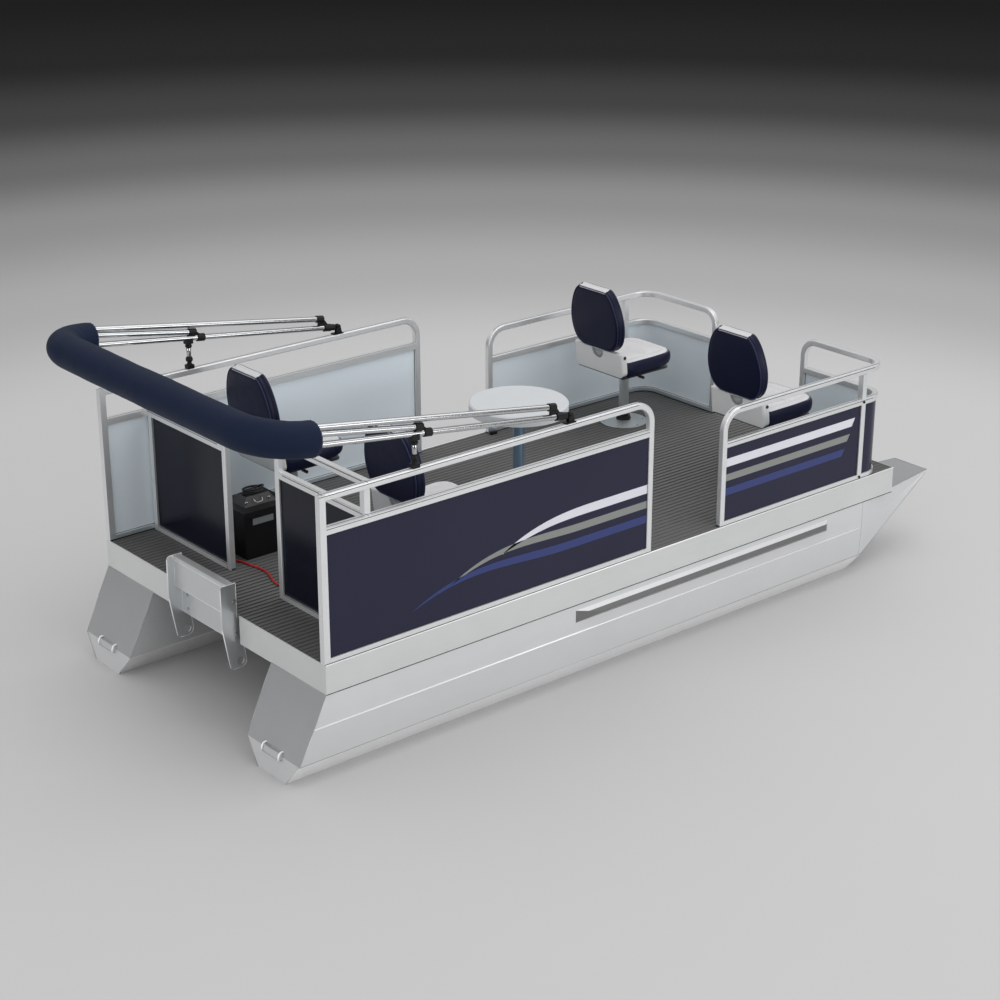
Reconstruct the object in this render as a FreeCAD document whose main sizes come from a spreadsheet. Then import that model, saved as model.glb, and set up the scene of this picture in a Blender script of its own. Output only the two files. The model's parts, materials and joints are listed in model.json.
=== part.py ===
import FreeCAD, Part
import math
import os
import re

import Sketcher

# Small twin-hull pontoon boat, in millimetres.  +X points to the bow, +Y to port and +Z up.
# z = 0 is the floor under the keels; x = 0 lies midway between the boot's aft side and the nose tips.

os.makedirs("parts", exist_ok=True)
doc = FreeCAD.newDocument("PontoonBoat")
sheet = doc.addObject("Spreadsheet::Sheet", "Sizes")

SIZES = {
    # Deck and its aluminium edge.  Lengths marked _x run forward from the stern edge.
    "stern_x": -2058.5,
    "deck_top": 607,
    "deck_length": 4020,
    "deck_beam": 1980,
    "deck_plate": 17,
    "rib_height": 3,
    "rib_width": 16,
    "rib_pitch": 34,
    "fascia_height": 152,
    "fascia_wall": 4,
    "fascia_flange": 34,
    "fascia_notch": 270,
    "cross_width": 44,
    "cross_wall": 5,
    "cross_count": 8,
    # Pontoons
    "pontoon_width": 452,
    "pontoon_track": 763,
    "chine_height": 124,
    "crease_height": 297,
    "keel_flat": 228,
    "side_lean": 8,
    "stern_rake": 160,
    "keel_rake": 174,
    "nose_start": 3790,
    "nose_tip": 4465,
    "nose_width": 244,
    "nose_depth": 26,
    "nose_lean": 6,
    "stern_lug": 150,
    "lug_height": 34,
    "lug_stand": 16,
    "spray_start": 1560,
    "spray_end": 3470,
    "spray_width": 34,
    "spray_depth": 68,
    "spray_drop": 30,
    "spray_taper": 150,
    # Fences: square tube rails and posts round four sections
    "tube": 34,
    "tube_corner": 6,
    "fence_set": 5,
    "stern_rail": 840,
    "stern_mid": 676,
    "bow_rail": 657,
    "bow_mid": 477,
    "sill": 26,
    "gate_aft": 2090,
    "gate_fore": 2600,
    "transom_fence": 290,
    "transom_gate": 252,
    "transom_bend": 72,
    "bow_fence": 3930,
    "bow_gate": 345,
    "bow_post": 3725,
    "bow_corner": 120,
    "gate_bend": 105,
    "panel_sheet": 8,
    "panel_inset": 9,
    "catch_length": 46,
    "catch_width": 24,
    "catch_height": 20,
    # Outboard bracket at the stern
    "bracket_half": 240,
    "bracket_plate": 6,
    "bracket_reach": 83,
    "bracket_rise": 165,
    "bracket_foot": 290,
    "bracket_foot_aft": 43,
    "bracket_foot_round": 34,
    "bracket_bend": 60,
    "bracket_round": 16,
    "bracket_board": 38,
    "bracket_inset": 6,
    "board_set": 40,
    "bracket_hole": 20,
    "bracket_eye_x": 14,
    "bracket_eye_rise": 36,
    "bracket_lip": 14,
    # Folded bimini top: three bows a side, the main one on the rail hinge
    "bow_tube": 30,
    "hinge_x": 1517,
    "hinge_rise": 38,
    "hinge_pin": 10,
    "hinge_ear": 5,
    "hinge_foot": 64,
    "boot_end": -20,
    "bow_trim": 6,
    "main_end_rise": 239,
    "rear_start": 590,
    "rear_gap": 31,
    "rear_end_gap": 52,
    "front_start": 1407,
    "front_gap": 51,
    "front_end_gap": 83,
    "jaw_wall": 6,
    "jaw_length": 42,
    "jaw_shift": 40,
    "strut_x": 555,
    "strut_rod": 22,
    "strut_block": 40,
    "boot_rise": 30,
    "boot_aft": 262,
    "boot_size": 180,
    "boot_bend": 225,
    # Fishing seats on pedestals; seat_room runs from a fence's inner face to a seat's middle
    "seat_fore_x": 3380,
    "seat_aft_x": 930,
    "seat_aft_starboard_x": 965,
    "seat_room": 351,
    "seat_fore_extra": 55,
    "seat_aft_extra": 30,
    "seat_disc": 290,
    "seat_disc_height": 14,
    "seat_disc_rim": 4,
    "seat_collar": 92,
    "seat_collar_height": 38,
    "seat_post": 60,
    "seat_post_height": 322,
    "seat_hub": 84,
    "seat_plate": 190,
    "seat_plate_wall": 8,
    "seat_plate_height": 30,
    "pan_wall": 8,
    "pan_round": 40,
    "seat_width": 410,
    "seat_depth": 425,
    "seat_front": 235,
    "seat_rear_round": 60,
    "seat_front_round": 95,
    "seat_rim_round": 26,
    "cushion_height": 92,
    "fold_rise": 38,
    "fold_set": 6,
    "fold_pin": 10,
    "fold_arm": 5,
    "fold_foot_set": 8,
    "fold_gap": 1,
    "pin_head": 20,
    "pin_head_wall": 3,
    "shell_wall": 8,
    "shell_back": 30,
    "shell_fore": 14,
    "shell_round": 34,
    "shell_corner": 16,
    "shell_rise": 24,
    "shell_drop": 128,
    "hand_hole": 50,
    "back_width": 410,
    "back_base": 300,
    "back_crown": 250,
    "back_height": 385,
    "back_waist": 150,
    "back_thick": 62,
    "back_set": 40,
    "back_round": 14,
    "back_lean": 7,
    "lever_length": 120,
    "lever_size": 9,
    # Table
    "table_x": 2020,
    "table_top": 585,
    "table_size": 545,
    "table_thick": 55,
    "table_wall": 16,
    "table_post": 62,
    "table_base": 230,
    "table_base_wall": 8,
    "table_socket": 84,
    "table_socket_height": 60,
    # Battery box, its lid and what lies on it
    "battery_x": 402,
    "battery_y": 392,
    "battery_length": 280,
    "battery_width": 250,
    "battery_height": 257,
    "battery_draft": 10,
    "battery_wall": 6,
    "lid_skirt": 22,
    "lid_gap": 1,
    "battery_lip": 8,
    "hump_length": 196,
    "hump_width": 132,
    "hump_slope": 28,
    "hump_height": 46,
    "gland_size": 24,
    "gland_length": 14,
    "gland_height": 66,
    "gland_y": 506,
    # Cables
    "cable_size": 10,
    "plug_length": 72,
    "plug_size": 24,
    "coil_length": 140,
    "coil_width": 96,
    "coil_height": 36,
    "coil_band": 30,
    # Small running and seating gaps
    "seat_gap": 0.3,
    "turn_gap": 0.3,
}

for row, (word, number) in enumerate(SIZES.items(), start=1):
    sheet.set("A%d" % row, word)
    sheet.set("B%d" % row, str(number))
    sheet.setAlias("B%d" % row, word)
doc.recompute()

WORDS = re.compile(r"[a-z][a-z_]*")
FORE = FreeCAD.Vector(1, 0, 0)
PORT = FreeCAD.Vector(0, 1, 0)
FENCE = "(deck_beam / 2 - fence_set)"
SIDES = (("starboard", -1), ("port", 1))
pieces = []


def formula(text):
    """Text of a formula with each size's name pointed at its cell."""
    return WORDS.sub(lambda m: "Sizes." + m.group(0) if m.group(0) in SIZES else m.group(0), str(text))


def size(text):
    """Value of a size or of a formula of sizes, in millimetres."""
    found = sheet.evalExpression(formula(text))
    return float(found.Value if hasattr(found, "Value") else found)


def bind(thing, **formulas):
    for name, text in formulas.items():
        thing.setExpression(name, formula(text))


def place(thing, x="0", y="0", z="0"):
    """Ties where a thing stands to the sheet."""
    for axis, text in (("x", x), ("y", y), ("z", z)):
        thing.setExpression("Placement.Base." + axis, formula(text))


def keep(thing, label):
    """Counts a thing as one of the boat's pieces."""
    thing.Label = label
    pieces.append(thing)
    return thing


def plane(body, role):
    return next(f for f in body.Origin.OriginFeatures if f.Role == role)


def outline(body, name, role, corners, lift="0"):
    """Closed sketch through corners given as pairs of formulas, each tied to the sheet."""
    sketch = body.newObject("Sketcher::SketchObject", name)
    sketch.AttachmentSupport = (plane(body, role), [""])
    sketch.MapMode = "FlatFace"
    spots = [FreeCAD.Vector(size(a), size(b), 0) for a, b in corners]
    count = len(corners)
    for i in range(count):
        sketch.addGeometry(Part.LineSegment(spots[i], spots[(i + 1) % count]), False)
    for i in range(count):
        sketch.addConstraint(Sketcher.Constraint("Coincident", i, 2, (i + 1) % count, 1))
    for i, corner in enumerate(corners):
        for kind, text in zip(("DistanceX", "DistanceY"), corner):
            index = sketch.addConstraint(Sketcher.Constraint(kind, i, 1, size(text)))
            sketch.setExpression("Constraints[%d]" % index, formula(text))
    sketch.setExpression("AttachmentOffset.Base.z", formula(lift))
    return sketch


def rectangle(half_x, half_y):
    """Corners of a rectangle about the sketch's origin."""
    return [
        ("-(%s)" % half_x, "-(%s)" % half_y),
        (half_x, "-(%s)" % half_y),
        (half_x, half_y),
        ("-(%s)" % half_x, half_y),
    ]


def pad(body, sketch, length, midplane=False):
    feature = body.newObject("PartDesign::Pad", sketch.Name + "Pad")
    feature.Profile = sketch
    feature.Midplane = midplane
    bind(feature, Length=length)
    return feature


def pocket(body, sketch, length, midplane=False, reverse=False):
    feature = body.newObject("PartDesign::Pocket", sketch.Name + "Pocket")
    feature.Profile = sketch
    feature.Midplane = midplane
    feature.Reversed = reverse
    bind(feature, Length=length)
    return feature


def repeat(body, original, role, length, count):
    feature = body.newObject("PartDesign::LinearPattern", original.Name + "Row")
    feature.Originals = [original]
    feature.Direction = (plane(body, role), [""])
    bind(feature, Length=length, Occurrences=count)
    body.Tip = feature
    return feature


def turned(name, corners, x, y, z):
    """Body turned about its upright axis from corners given as radius and height."""
    body = doc.addObject("PartDesign::Body", name)
    sketch = outline(body, name + "Profile", "XZ_Plane", corners)
    feature = body.newObject("PartDesign::Revolution", name + "Turn")
    feature.Profile = sketch
    feature.ReferenceAxis = (sketch, ["V_Axis"])
    feature.Angle = 360
    place(body, x, y, z)
    return body


def box(name, length, width, height, x, y, z):
    """Block centred at x, y with its foot at z."""
    thing = doc.addObject("Part::Box", name)
    bind(thing, Length=length, Width=width, Height=height)
    place(thing, "%s - (%s) / 2" % (x, length), "%s - (%s) / 2" % (y, width), z)
    return thing


def cylinder(name, across, height, x, y, z):
    """Upright cylinder with its foot at z."""
    thing = doc.addObject("Part::Cylinder", name)
    bind(thing, Radius="(%s) / 2" % across, Height=height)
    place(thing, x, y, z)
    return thing


def group(label, things):
    """Pieces that share a body and don't touch, kept as one node."""
    bundle = doc.addObject("Part::Compound", label)
    bundle.Links = things
    return keep(bundle, label)


def shaped(label, shape, x="0", y="0", z="0", turn="0"):
    """Piece shaped from the sheet's values, stood at its place and turned about its sideways axis."""
    thing = doc.addObject("Part::Feature", label)
    thing.Shape = shape
    thing.Placement = FreeCAD.Placement(spot(size(x), size(y), size(z)), FreeCAD.Rotation(PORT, size(turn)))
    return keep(thing, label)


def spot(x, y, z=0):
    return FreeCAD.Vector(x, y, z)


def beam(x0, x1, y0, y1, z0, z1):
    """Solid block between six planes."""
    return Part.makeBox(abs(x1 - x0), abs(y1 - y0), abs(z1 - z0), spot(min(x0, x1), min(y0, y1), min(z0, z1)))


def rounded_face(corners, radii):
    """Flat face inside a closed outline, each corner rounded by a tangent arc of its radius."""
    ends = []
    for i, corner in enumerate(corners):
        back = (corners[i - 1] - corner).normalize()
        ahead = (corners[(i + 1) % len(corners)] - corner).normalize()
        half = back.getAngle(ahead) / 2
        cut = radii[i] / math.tan(half)
        inward = (back + ahead).normalize()
        middle = corner + inward * (radii[i] / math.sin(half) - radii[i])
        ends.append((corner + back * cut, middle, corner + ahead * cut))
    edges = []
    for i, (first, middle, last) in enumerate(ends):
        before = ends[i - 1][2]
        if not first.isEqual(before, 1e-6):
            edges.append(Part.LineSegment(before, first).toShape())
        if radii[i] > 0:
            edges.append(Part.Arc(first, middle, last).toShape())
    return Part.Face(Part.Wire(edges))


def flat_end(corner, wide, tall):
    """Rectangle spanned by two directions from a corner."""
    corners = [corner, corner + wide, corner + wide + tall, corner + tall]
    return Part.Face(Part.makePolygon(corners + corners[:1]))


def square_section(across, corner, middle, along, side):
    """Rounded square about a point, square to the direction along, with two edges along side."""
    up = along.cross(side)
    half = across / 2
    corners = [
        middle - side * half - up * half,
        middle + side * half - up * half,
        middle + side * half + up * half,
        middle - side * half + up * half,
    ]
    return rounded_face(corners, [corner] * 4)


def bent_solid(points, bends, section):
    """Carries a flat section along straight runs, turning it through an arc at each inner point."""
    lengths = []
    start = points[0]
    for i in range(1, len(points)):
        travel = (points[i] - points[i - 1]).normalize()
        if i == len(points) - 1:
            lengths.append(section.extrude(points[i] - start))
            break
        ahead = (points[i + 1] - points[i]).normalize()
        turn = travel.getAngle(ahead)
        trim = bends[i - 1] * math.tan(turn / 2)
        first = points[i] - travel * trim
        lengths.append(section.extrude(first - start))
        section = section.translated(first - start)
        inward = (ahead - travel * travel.dot(ahead)).normalize()
        centre = first + inward * bends[i - 1]
        axis = travel.cross(ahead)
        lengths.append(section.revolve(centre, axis, math.degrees(turn)))
        section = section.rotated(centre, axis, math.degrees(turn))
        start = points[i] + ahead * trim
    return lengths[0].multiFuse(lengths[1:]).removeSplitter()


def square_tube(points, bends, side):
    """Bent square tube through points; side is a direction square to its first run."""
    along = (points[1] - points[0]).normalize()
    section = square_section(size("tube"), size("tube_corner"), points[0], along, side)
    return bent_solid(points, [size(bend) for bend in bends], section)


def round_tube(points, bends, across):
    along = (points[1] - points[0]).normalize()
    section = Part.Face(Part.Wire([Part.Circle(points[0], along, size(across) / 2).toShape()]))
    return bent_solid(points, [size(bend) for bend in bends], section)


# Pontoons


def hull_section(width, crease, chine, keel, lean):
    """Corners of a pontoon's section: flat top, upright then leaning sides, and a keel flat."""
    half = "%s / 2" % width
    flat = "%s * keel_flat / pontoon_width / 2" % width
    top = "deck_top - fascia_height"
    return [
        ("-(%s)" % half, top),
        ("-(%s)" % half, crease),
        ("-(%s) + %s" % (half, lean), chine),
        ("-(%s)" % flat, keel),
        (flat, keel),
        ("%s - %s" % (half, lean), chine),
        (half, crease),
        (half, top),
    ]


def pontoon(label, side):
    """Flat sided hull on a keel flat, a raked stern with a lug on its lip, and a wedge nose."""
    body = keep(doc.addObject("PartDesign::Body", label), label)
    full = hull_section("pontoon_width", "crease_height", "chine_height", "0", "side_lean")
    pad(body, outline(body, label + "Section", "YZ_Plane", full, "-keel_rake"), "keel_rake + nose_start")
    top = "deck_top - fascia_height"
    past = "-keel_rake - pontoon_width"
    below = "-pontoon_width"
    rake = [
        ("0", top),
        ("-stern_rake", "chine_height"),
        ("-keel_rake", "0"),
        ("-keel_rake", below),
        (past, below),
        (past, top),
    ]
    pocket(body, outline(body, label + "Rake", "XZ_Plane", rake), "2 * pontoon_width", midplane=True)
    lug = [
        ("-stern_rake - lug_stand", "chine_height - lug_height / 2"),
        ("-stern_rake + lug_height / 2", "chine_height - lug_height / 2"),
        ("-stern_rake + lug_height / 2", "chine_height + lug_height / 2"),
        ("-stern_rake - lug_stand / 2", "chine_height + lug_height / 2"),
    ]
    pad(body, outline(body, label + "Lug", "XZ_Plane", lug), "stern_lug", midplane=True)
    tip = hull_section(
        "nose_width",
        "deck_top - fascia_height - nose_depth / 3",
        "deck_top - fascia_height - nose_depth * 2 / 3",
        "deck_top - fascia_height - nose_depth",
        "nose_lean",
    )
    start = outline(body, label + "NoseStart", "YZ_Plane", full, "nose_start")
    end = outline(body, label + "NoseTip", "YZ_Plane", tip, "nose_tip")
    nose = body.newObject("PartDesign::AdditiveLoft", label + "Nose")
    nose.Profile = start
    nose.Sections = [end]
    nose.Ruled = True
    place(body, "stern_x", "%d * pontoon_track" % side, "0")


def spray_rail(name, side):
    """Folded rail welded along a pontoon's outer side under the fascia, its ends tapered to the hull."""
    body = doc.addObject("PartDesign::Body", name)
    reach = "%d * spray_width" % side
    length = "(spray_end - spray_start)"
    corners = [
        ("0", "0"),
        (reach, "-spray_depth * 0.50"),
        (reach, "-spray_depth * 0.56"),
        ("0", "-spray_depth"),
    ]
    pad(body, outline(body, name + "Section", "YZ_Plane", corners), length)
    outer = "%d * 2 * spray_width" % side
    for end, start, stop in (
        ("Aft", "0", "spray_taper"),
        ("Fore", length, "%s - spray_taper / 3" % length),
    ):
        beyond = "2 * (%s) - (%s)" % (start, stop)
        wedge = [(start, "0"), (stop, reach), (stop, outer), (beyond, outer), (beyond, "0")]
        pocket(body, outline(body, name + end, "XY_Plane", wedge), "4 * spray_depth", midplane=True)
    place(
        body,
        "stern_x + spray_start",
        "%d * (pontoon_track + pontoon_width / 2)" % side,
        "deck_top - fascia_height - spray_drop",
    )
    return body


pontoon("pontoon_starboard", -1)
pontoon("pontoon_port", 1)
group("spray_rails", [spray_rail("SprayStarboard", -1), spray_rail("SprayPort", 1)])


# Deck edge, cross members and ribbed deck


def fascia():
    """Channel section frame round the deck, open at the stern for the outboard bracket."""
    body = keep(doc.addObject("PartDesign::Body", "fascia"), "fascia")
    outer = rectangle("deck_length / 2", "deck_beam / 2")
    pad(body, outline(body, "FasciaOuter", "XY_Plane", outer), "fascia_height")
    inner = rectangle("deck_length / 2 - fascia_flange", "deck_beam / 2 - fascia_flange")
    pocket(body, outline(body, "FasciaInner", "XY_Plane", inner, "fascia_height"), "fascia_height")
    web = rectangle("deck_length / 2 - fascia_wall", "deck_beam / 2 - fascia_wall")
    deck_room = outline(body, "FasciaDeckRoom", "XY_Plane", web, "fascia_height")
    pocket(body, deck_room, "deck_plate + rib_height")
    hollow_top = "fascia_height - deck_plate - rib_height - fascia_wall"
    hollow = outline(body, "FasciaHollow", "XY_Plane", web, hollow_top)
    pocket(body, hollow, "%s - fascia_wall" % hollow_top)
    notch = [
        ("-deck_length / 2 - fascia_wall", "-fascia_notch"),
        ("-deck_length / 2 + 2 * fascia_flange", "-fascia_notch"),
        ("-deck_length / 2 + 2 * fascia_flange", "fascia_notch"),
        ("-deck_length / 2 - fascia_wall", "fascia_notch"),
    ]
    pocket(body, outline(body, "FasciaNotch", "XY_Plane", notch, "fascia_height"), "fascia_height")
    place(body, "stern_x + deck_length / 2", "0", "deck_top - fascia_height")


def cross_members():
    """Channels across the boat between the deck and the pontoons."""
    body = keep(doc.addObject("PartDesign::Body", "cross_members"), "cross_members")
    low = "deck_top - fascia_height"
    high = "deck_top - deck_plate - rib_height"
    corners = [
        ("0", low),
        ("cross_width", low),
        ("cross_width", "%s + cross_wall" % low),
        ("cross_wall", "%s + cross_wall" % low),
        ("cross_wall", "%s - cross_wall" % high),
        ("cross_width", "%s - cross_wall" % high),
        ("cross_width", high),
        ("0", high),
    ]
    width = "deck_beam - 2 * fascia_flange"
    first = pad(body, outline(body, "CrossSection", "XZ_Plane", corners), width, midplane=True)
    run = "deck_length - 2 * fascia_flange - cross_width"
    repeat(body, first, "X_Axis", run, "cross_count")
    place(body, "stern_x + fascia_flange", "0", "0")


def deck():
    """Plate with fine ribs that run fore and aft."""
    body = keep(doc.addObject("PartDesign::Body", "deck"), "deck")
    plate = rectangle("deck_length / 2 - fascia_wall", "deck_beam / 2 - fascia_wall")
    pad(body, outline(body, "DeckPlate", "XY_Plane", plate), "deck_plate")
    span = "deck_beam - 2 * fascia_wall - rib_width"
    first = "-(%s) / 2 - rib_width / 2" % span
    corners = [
        ("-deck_length / 2 + fascia_wall", first),
        ("deck_length / 2 - fascia_wall", first),
        ("deck_length / 2 - fascia_wall", "%s + rib_width" % first),
        ("-deck_length / 2 + fascia_wall", "%s + rib_width" % first),
    ]
    rib = pad(body, outline(body, "DeckRib", "XY_Plane", corners, "deck_plate"), "rib_height")
    repeat(body, rib, "Y_Axis", span, "floor((%s) / rib_pitch) + 1" % span)
    place(body, "stern_x + deck_length / 2", "0", "deck_top - deck_plate - rib_height")


fascia()
cross_members()
deck()


# Fences


def stern_fence(label, side):
    """Side run with a bent post at the gate, and the run across to the stern gate."""
    half = size("tube / 2")
    aft = size("stern_x") + half
    fore = size("stern_x + gate_aft") - half
    line = side * (size(FENCE) - half)
    inner = line - side * half
    foot = size("deck_top")
    top = foot + size("stern_rail") - half
    middle = foot + size("stern_mid") - half
    cross = size("stern_x + transom_fence")
    gate = side * (size("transom_gate") - half)
    low = foot + size("sill")
    side_run = [spot(aft, line, top), spot(fore, line, top), spot(fore, line, foot)]
    side_rail = square_tube(side_run, ["gate_bend"], PORT)
    corner_post = beam(aft - half, aft + half, line - half, line + half, foot, top + half)
    cross_rail = square_tube(
        [spot(cross, inner, top), spot(cross, gate, top), spot(cross, gate, foot)], ["transom_bend"], FORE
    )
    side_mid = beam(aft + half, fore - half, line - half, line + half, middle - half, middle + half)
    side_sill = beam(aft + half, fore - half, line - half, line + half, foot, low)
    cross_far = inner - side * 2 * half
    cross_near = gate + side * half
    cross_post = beam(cross - half, cross + half, inner, cross_far, foot, top - half)
    cross_mid = beam(cross - half, cross + half, cross_far, cross_near, middle - half, middle + half)
    cross_sill = beam(cross - half, cross + half, cross_far, cross_near, foot, low)
    members = [corner_post, side_mid, side_sill, cross_rail, cross_post, cross_mid, cross_sill]
    shaped(label, side_rail.multiFuse(members).removeSplitter())


def corner_run(start_x, line, front, gate, height):
    """Points of a run along the side, round the bow corner and across to the gate."""
    return [spot(start_x, line, height), spot(front, line, height), spot(front, gate, height)]


def bow_fence(label, side):
    """Lower run from the side gate, round the bow corner to the bow gate."""
    half = size("tube / 2")
    aft = size("stern_x + gate_fore") + half
    front = size("stern_x + bow_fence") - half
    line = side * (size(FENCE) - half)
    gate = side * (size("bow_gate") + half)
    foot = size("deck_top")
    top = foot + size("bow_rail") - half
    middle = foot + size("bow_mid") - half
    post_x = size("stern_x + bow_post")
    rail = square_tube(
        [spot(aft, line, foot)] + corner_run(aft, line, front, gate, top) + [spot(front, gate, foot)],
        ["gate_bend", "bow_corner", "gate_bend * 0.85"],
        PORT,
    )
    mid_rail = square_tube(corner_run(aft, line, front, gate, middle), ["bow_corner"], PORT)
    low = spot(aft, line - half, foot)
    sill_end = flat_end(low, PORT * (2 * half), FreeCAD.Vector(0, 0, size("sill")))
    sill = bent_solid(corner_run(aft, line, front, gate, foot), [size("bow_corner")], sill_end)
    post = beam(post_x - half, post_x + half, line - half, line + half, foot, top - half)
    shaped(label, rail.multiFuse([mid_rail, sill, post]).removeSplitter())


def stern_panels(label, side):
    """Side sheet and cross sheet between the posts, the sill and the mid rail."""
    tube = size("tube")
    wall = size("panel_sheet")
    outer = side * size(FENCE + " - panel_inset")
    low = size("deck_top + sill")
    high = size("deck_top + stern_mid - tube")
    side_sheet = beam(
        size("stern_x") + tube, size("stern_x + gate_aft") - tube, outer, outer - side * wall, low, high
    )
    cross = size("stern_x + transom_fence")
    far = side * size(FENCE + " - 2 * tube")
    near = side * size("transom_gate")
    cross_sheet = beam(cross - wall / 2, cross + wall / 2, far, near, low, high)
    shaped(label, Part.makeCompound([side_sheet, cross_sheet]))


def bow_panels(label, side):
    """Side sheet aft of the mid post, and the sheet that bends round the bow corner."""
    tube = size("tube")
    half = tube / 2
    wall = size("panel_sheet")
    depth = size("panel_inset + panel_sheet / 2")
    line = side * (size(FENCE) - depth)
    front = size("stern_x + bow_fence") - depth
    low = size("deck_top + sill")
    high = size("deck_top + bow_mid - tube")
    post = size("stern_x + bow_post")
    aft = size("stern_x + gate_fore") + tube
    gate = side * size("bow_gate + tube")
    side_sheet = beam(aft, post - half, line - wall / 2, line + wall / 2, low, high)
    points = corner_run(post + half, line, front, gate, low)
    edge = flat_end(points[0] - PORT * (wall / 2), PORT * wall, FreeCAD.Vector(0, 0, high - low))
    corner_sheet = bent_solid(points, [size("bow_corner") + half - depth], edge)
    shaped(label, Part.makeCompound([side_sheet, corner_sheet]))


def gate_catch():
    """Small rounded catch on the deck beside the port gate's forward post."""
    half_x = size("catch_length / 2")
    half_y = size("catch_width / 2")
    corners = [spot(-half_x, -half_y), spot(half_x, -half_y), spot(half_x, half_y), spot(-half_x, half_y)]
    block = rounded_face(corners, [half_y / 2] * 4).extrude(FreeCAD.Vector(0, 0, size("catch_height")))
    top = [e for e in block.Edges if e.BoundBox.ZMin > size("catch_height / 2")]
    block = block.makeFillet(half_y / 3, top)
    shaped("gate_catch", block, "stern_x + gate_fore + tube / 2", FENCE + " - tube - catch_width", "deck_top")


for name, sign in SIDES:
    stern_fence("fence_stern_" + name, sign)
    bow_fence("fence_bow_" + name, sign)
    stern_panels("panels_stern_" + name, sign)
    bow_panels("panels_bow_" + name, sign)
gate_catch()


# Outboard bracket


def motor_bracket():
    """Side plates with rounded eye feet, a board between them under a folded lip, and an apron below."""
    half = size("bracket_half")
    wall = size("bracket_plate")
    under = -size("deck_plate + rib_height") - wall
    low = -size("fascia_height")
    reach = size("bracket_reach")
    rise = size("bracket_rise")
    foot = -size("bracket_foot")
    eye = spot(size("bracket_eye_x"), 0, foot + size("bracket_eye_rise"))
    flange = size("fascia_flange")
    fore = size("fascia_wall - seat_gap")
    foot_round = size("bracket_foot_round")
    foot_aft = -size("bracket_foot_aft")
    corners = [
        spot(-reach, 0, rise),
        spot(fore, 0, rise),
        spot(fore, 0, under),
        spot(flange, 0, under),
        spot(flange, 0, low),
        spot(eye.x + foot_round, 0, eye.z),
        spot(eye.x + foot_round, 0, foot),
        spot(foot_aft, 0, foot),
        spot(-reach, 0, -size("bracket_bend")),
    ]
    bend = size("bracket_round")
    radii = [bend, 0, bend / 2, bend / 2, bend / 2, bend, foot_round, bend, 2 * bend]
    profile = rounded_face(corners, radii)
    hole = Part.makeCylinder(size("bracket_hole"), 4 * wall, eye - PORT * (2 * wall), PORT)
    pieces_here = []
    for way in (-1, 1):
        plate = profile.extrude(PORT * wall)
        plate = plate.cut(hole)
        plate.translate(PORT * (half if way > 0 else -half - wall))
        pieces_here.append(plate)
    board_aft = size("board_set") - reach
    board_fore = board_aft + size("bracket_board")
    lip_top = rise - size("bracket_inset")
    pieces_here.append(beam(board_aft, board_fore, -half, half, 0, lip_top))
    lip_drop = lip_top - size("bracket_lip")
    hood_top = lip_top + wall
    lip_aft = board_aft - wall
    lip = [spot(lip_aft, 0, lip_drop), spot(lip_aft, 0, hood_top), spot(0, 0, hood_top), spot(0, 0, lip_drop)]
    hood = rounded_face(lip, [0, bend / 4, bend / 2, 0]).extrude(PORT * (2 * half))
    hood.translate(PORT * -half)
    hood = hood.cut(beam(board_aft, -wall, -half, half, lip_drop, lip_top))
    pieces_here.append(hood)
    pieces_here.append(beam(-wall, 0, -half, half, low, under))
    pieces_here.append(beam(-wall, board_fore, -half, half, 0, wall))
    pieces_here.append(beam(board_fore, 0, -half, half, 0, wall))
    pieces_here.append(beam(-wall, 0, -half, half, under, wall))
    shape = pieces_here[0].multiFuse(pieces_here[1:]).removeSplitter()
    shaped("motor_bracket", shape, "stern_x", "0", "deck_top")


motor_bracket()


# Folded bimini top


def bimini_directions():
    """Direction of the folded bundle towards the hinge, and the direction square to it."""
    drop = size("main_end_rise - hinge_rise")
    along = FreeCAD.Vector(size("hinge_x"), 0, -drop).normalize()
    return along, FreeCAD.Vector(-along.z, 0, along.x)


def bundle_point(x, above, side):
    """Point of the bundle: x forward of the stern, above the main bow's middle line."""
    slope = size("(main_end_rise - hinge_rise) / hinge_x")
    height = size("deck_top + stern_rail + hinge_rise") + (size("hinge_x") - x) * slope
    line = side * size(FENCE + " - tube / 2")
    return spot(size("stern_x") + x, line, height) + bimini_directions()[1] * above


def bow_ends(start, start_gap, end_gap, side):
    """Ends of a bow's straight leg between its jaw and the boot."""
    end = size("boot_end") + (size("bow_trim") if end_gap else 0)
    return bundle_point(start, start_gap, side), bundle_point(end, end_gap, side)


def bow_leg(ends, extra=0):
    """Straight tube between two points, wider by an extra and longer at its fore end for a bore."""
    low, high = ends
    run = high - low
    across = size("bow_tube") / 2 + extra
    return Part.makeCylinder(across, run.Length, low, run)


BOWS = {
    "bimini_main_bow": ("hinge_x - bow_tube", "0", "0"),
    "bimini_rear_bow": ("rear_start", "rear_gap", "rear_end_gap"),
    "bimini_front_bow": ("front_start", "front_gap", "front_end_gap"),
}


def bimini_bows():
    for label, formulas in BOWS.items():
        start, start_gap, end_gap = [size(text) for text in formulas]
        legs = [bow_leg(bow_ends(start, start_gap, end_gap, side)) for side in (-1, 1)]
        shaped(label, Part.makeCompound(legs))


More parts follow.
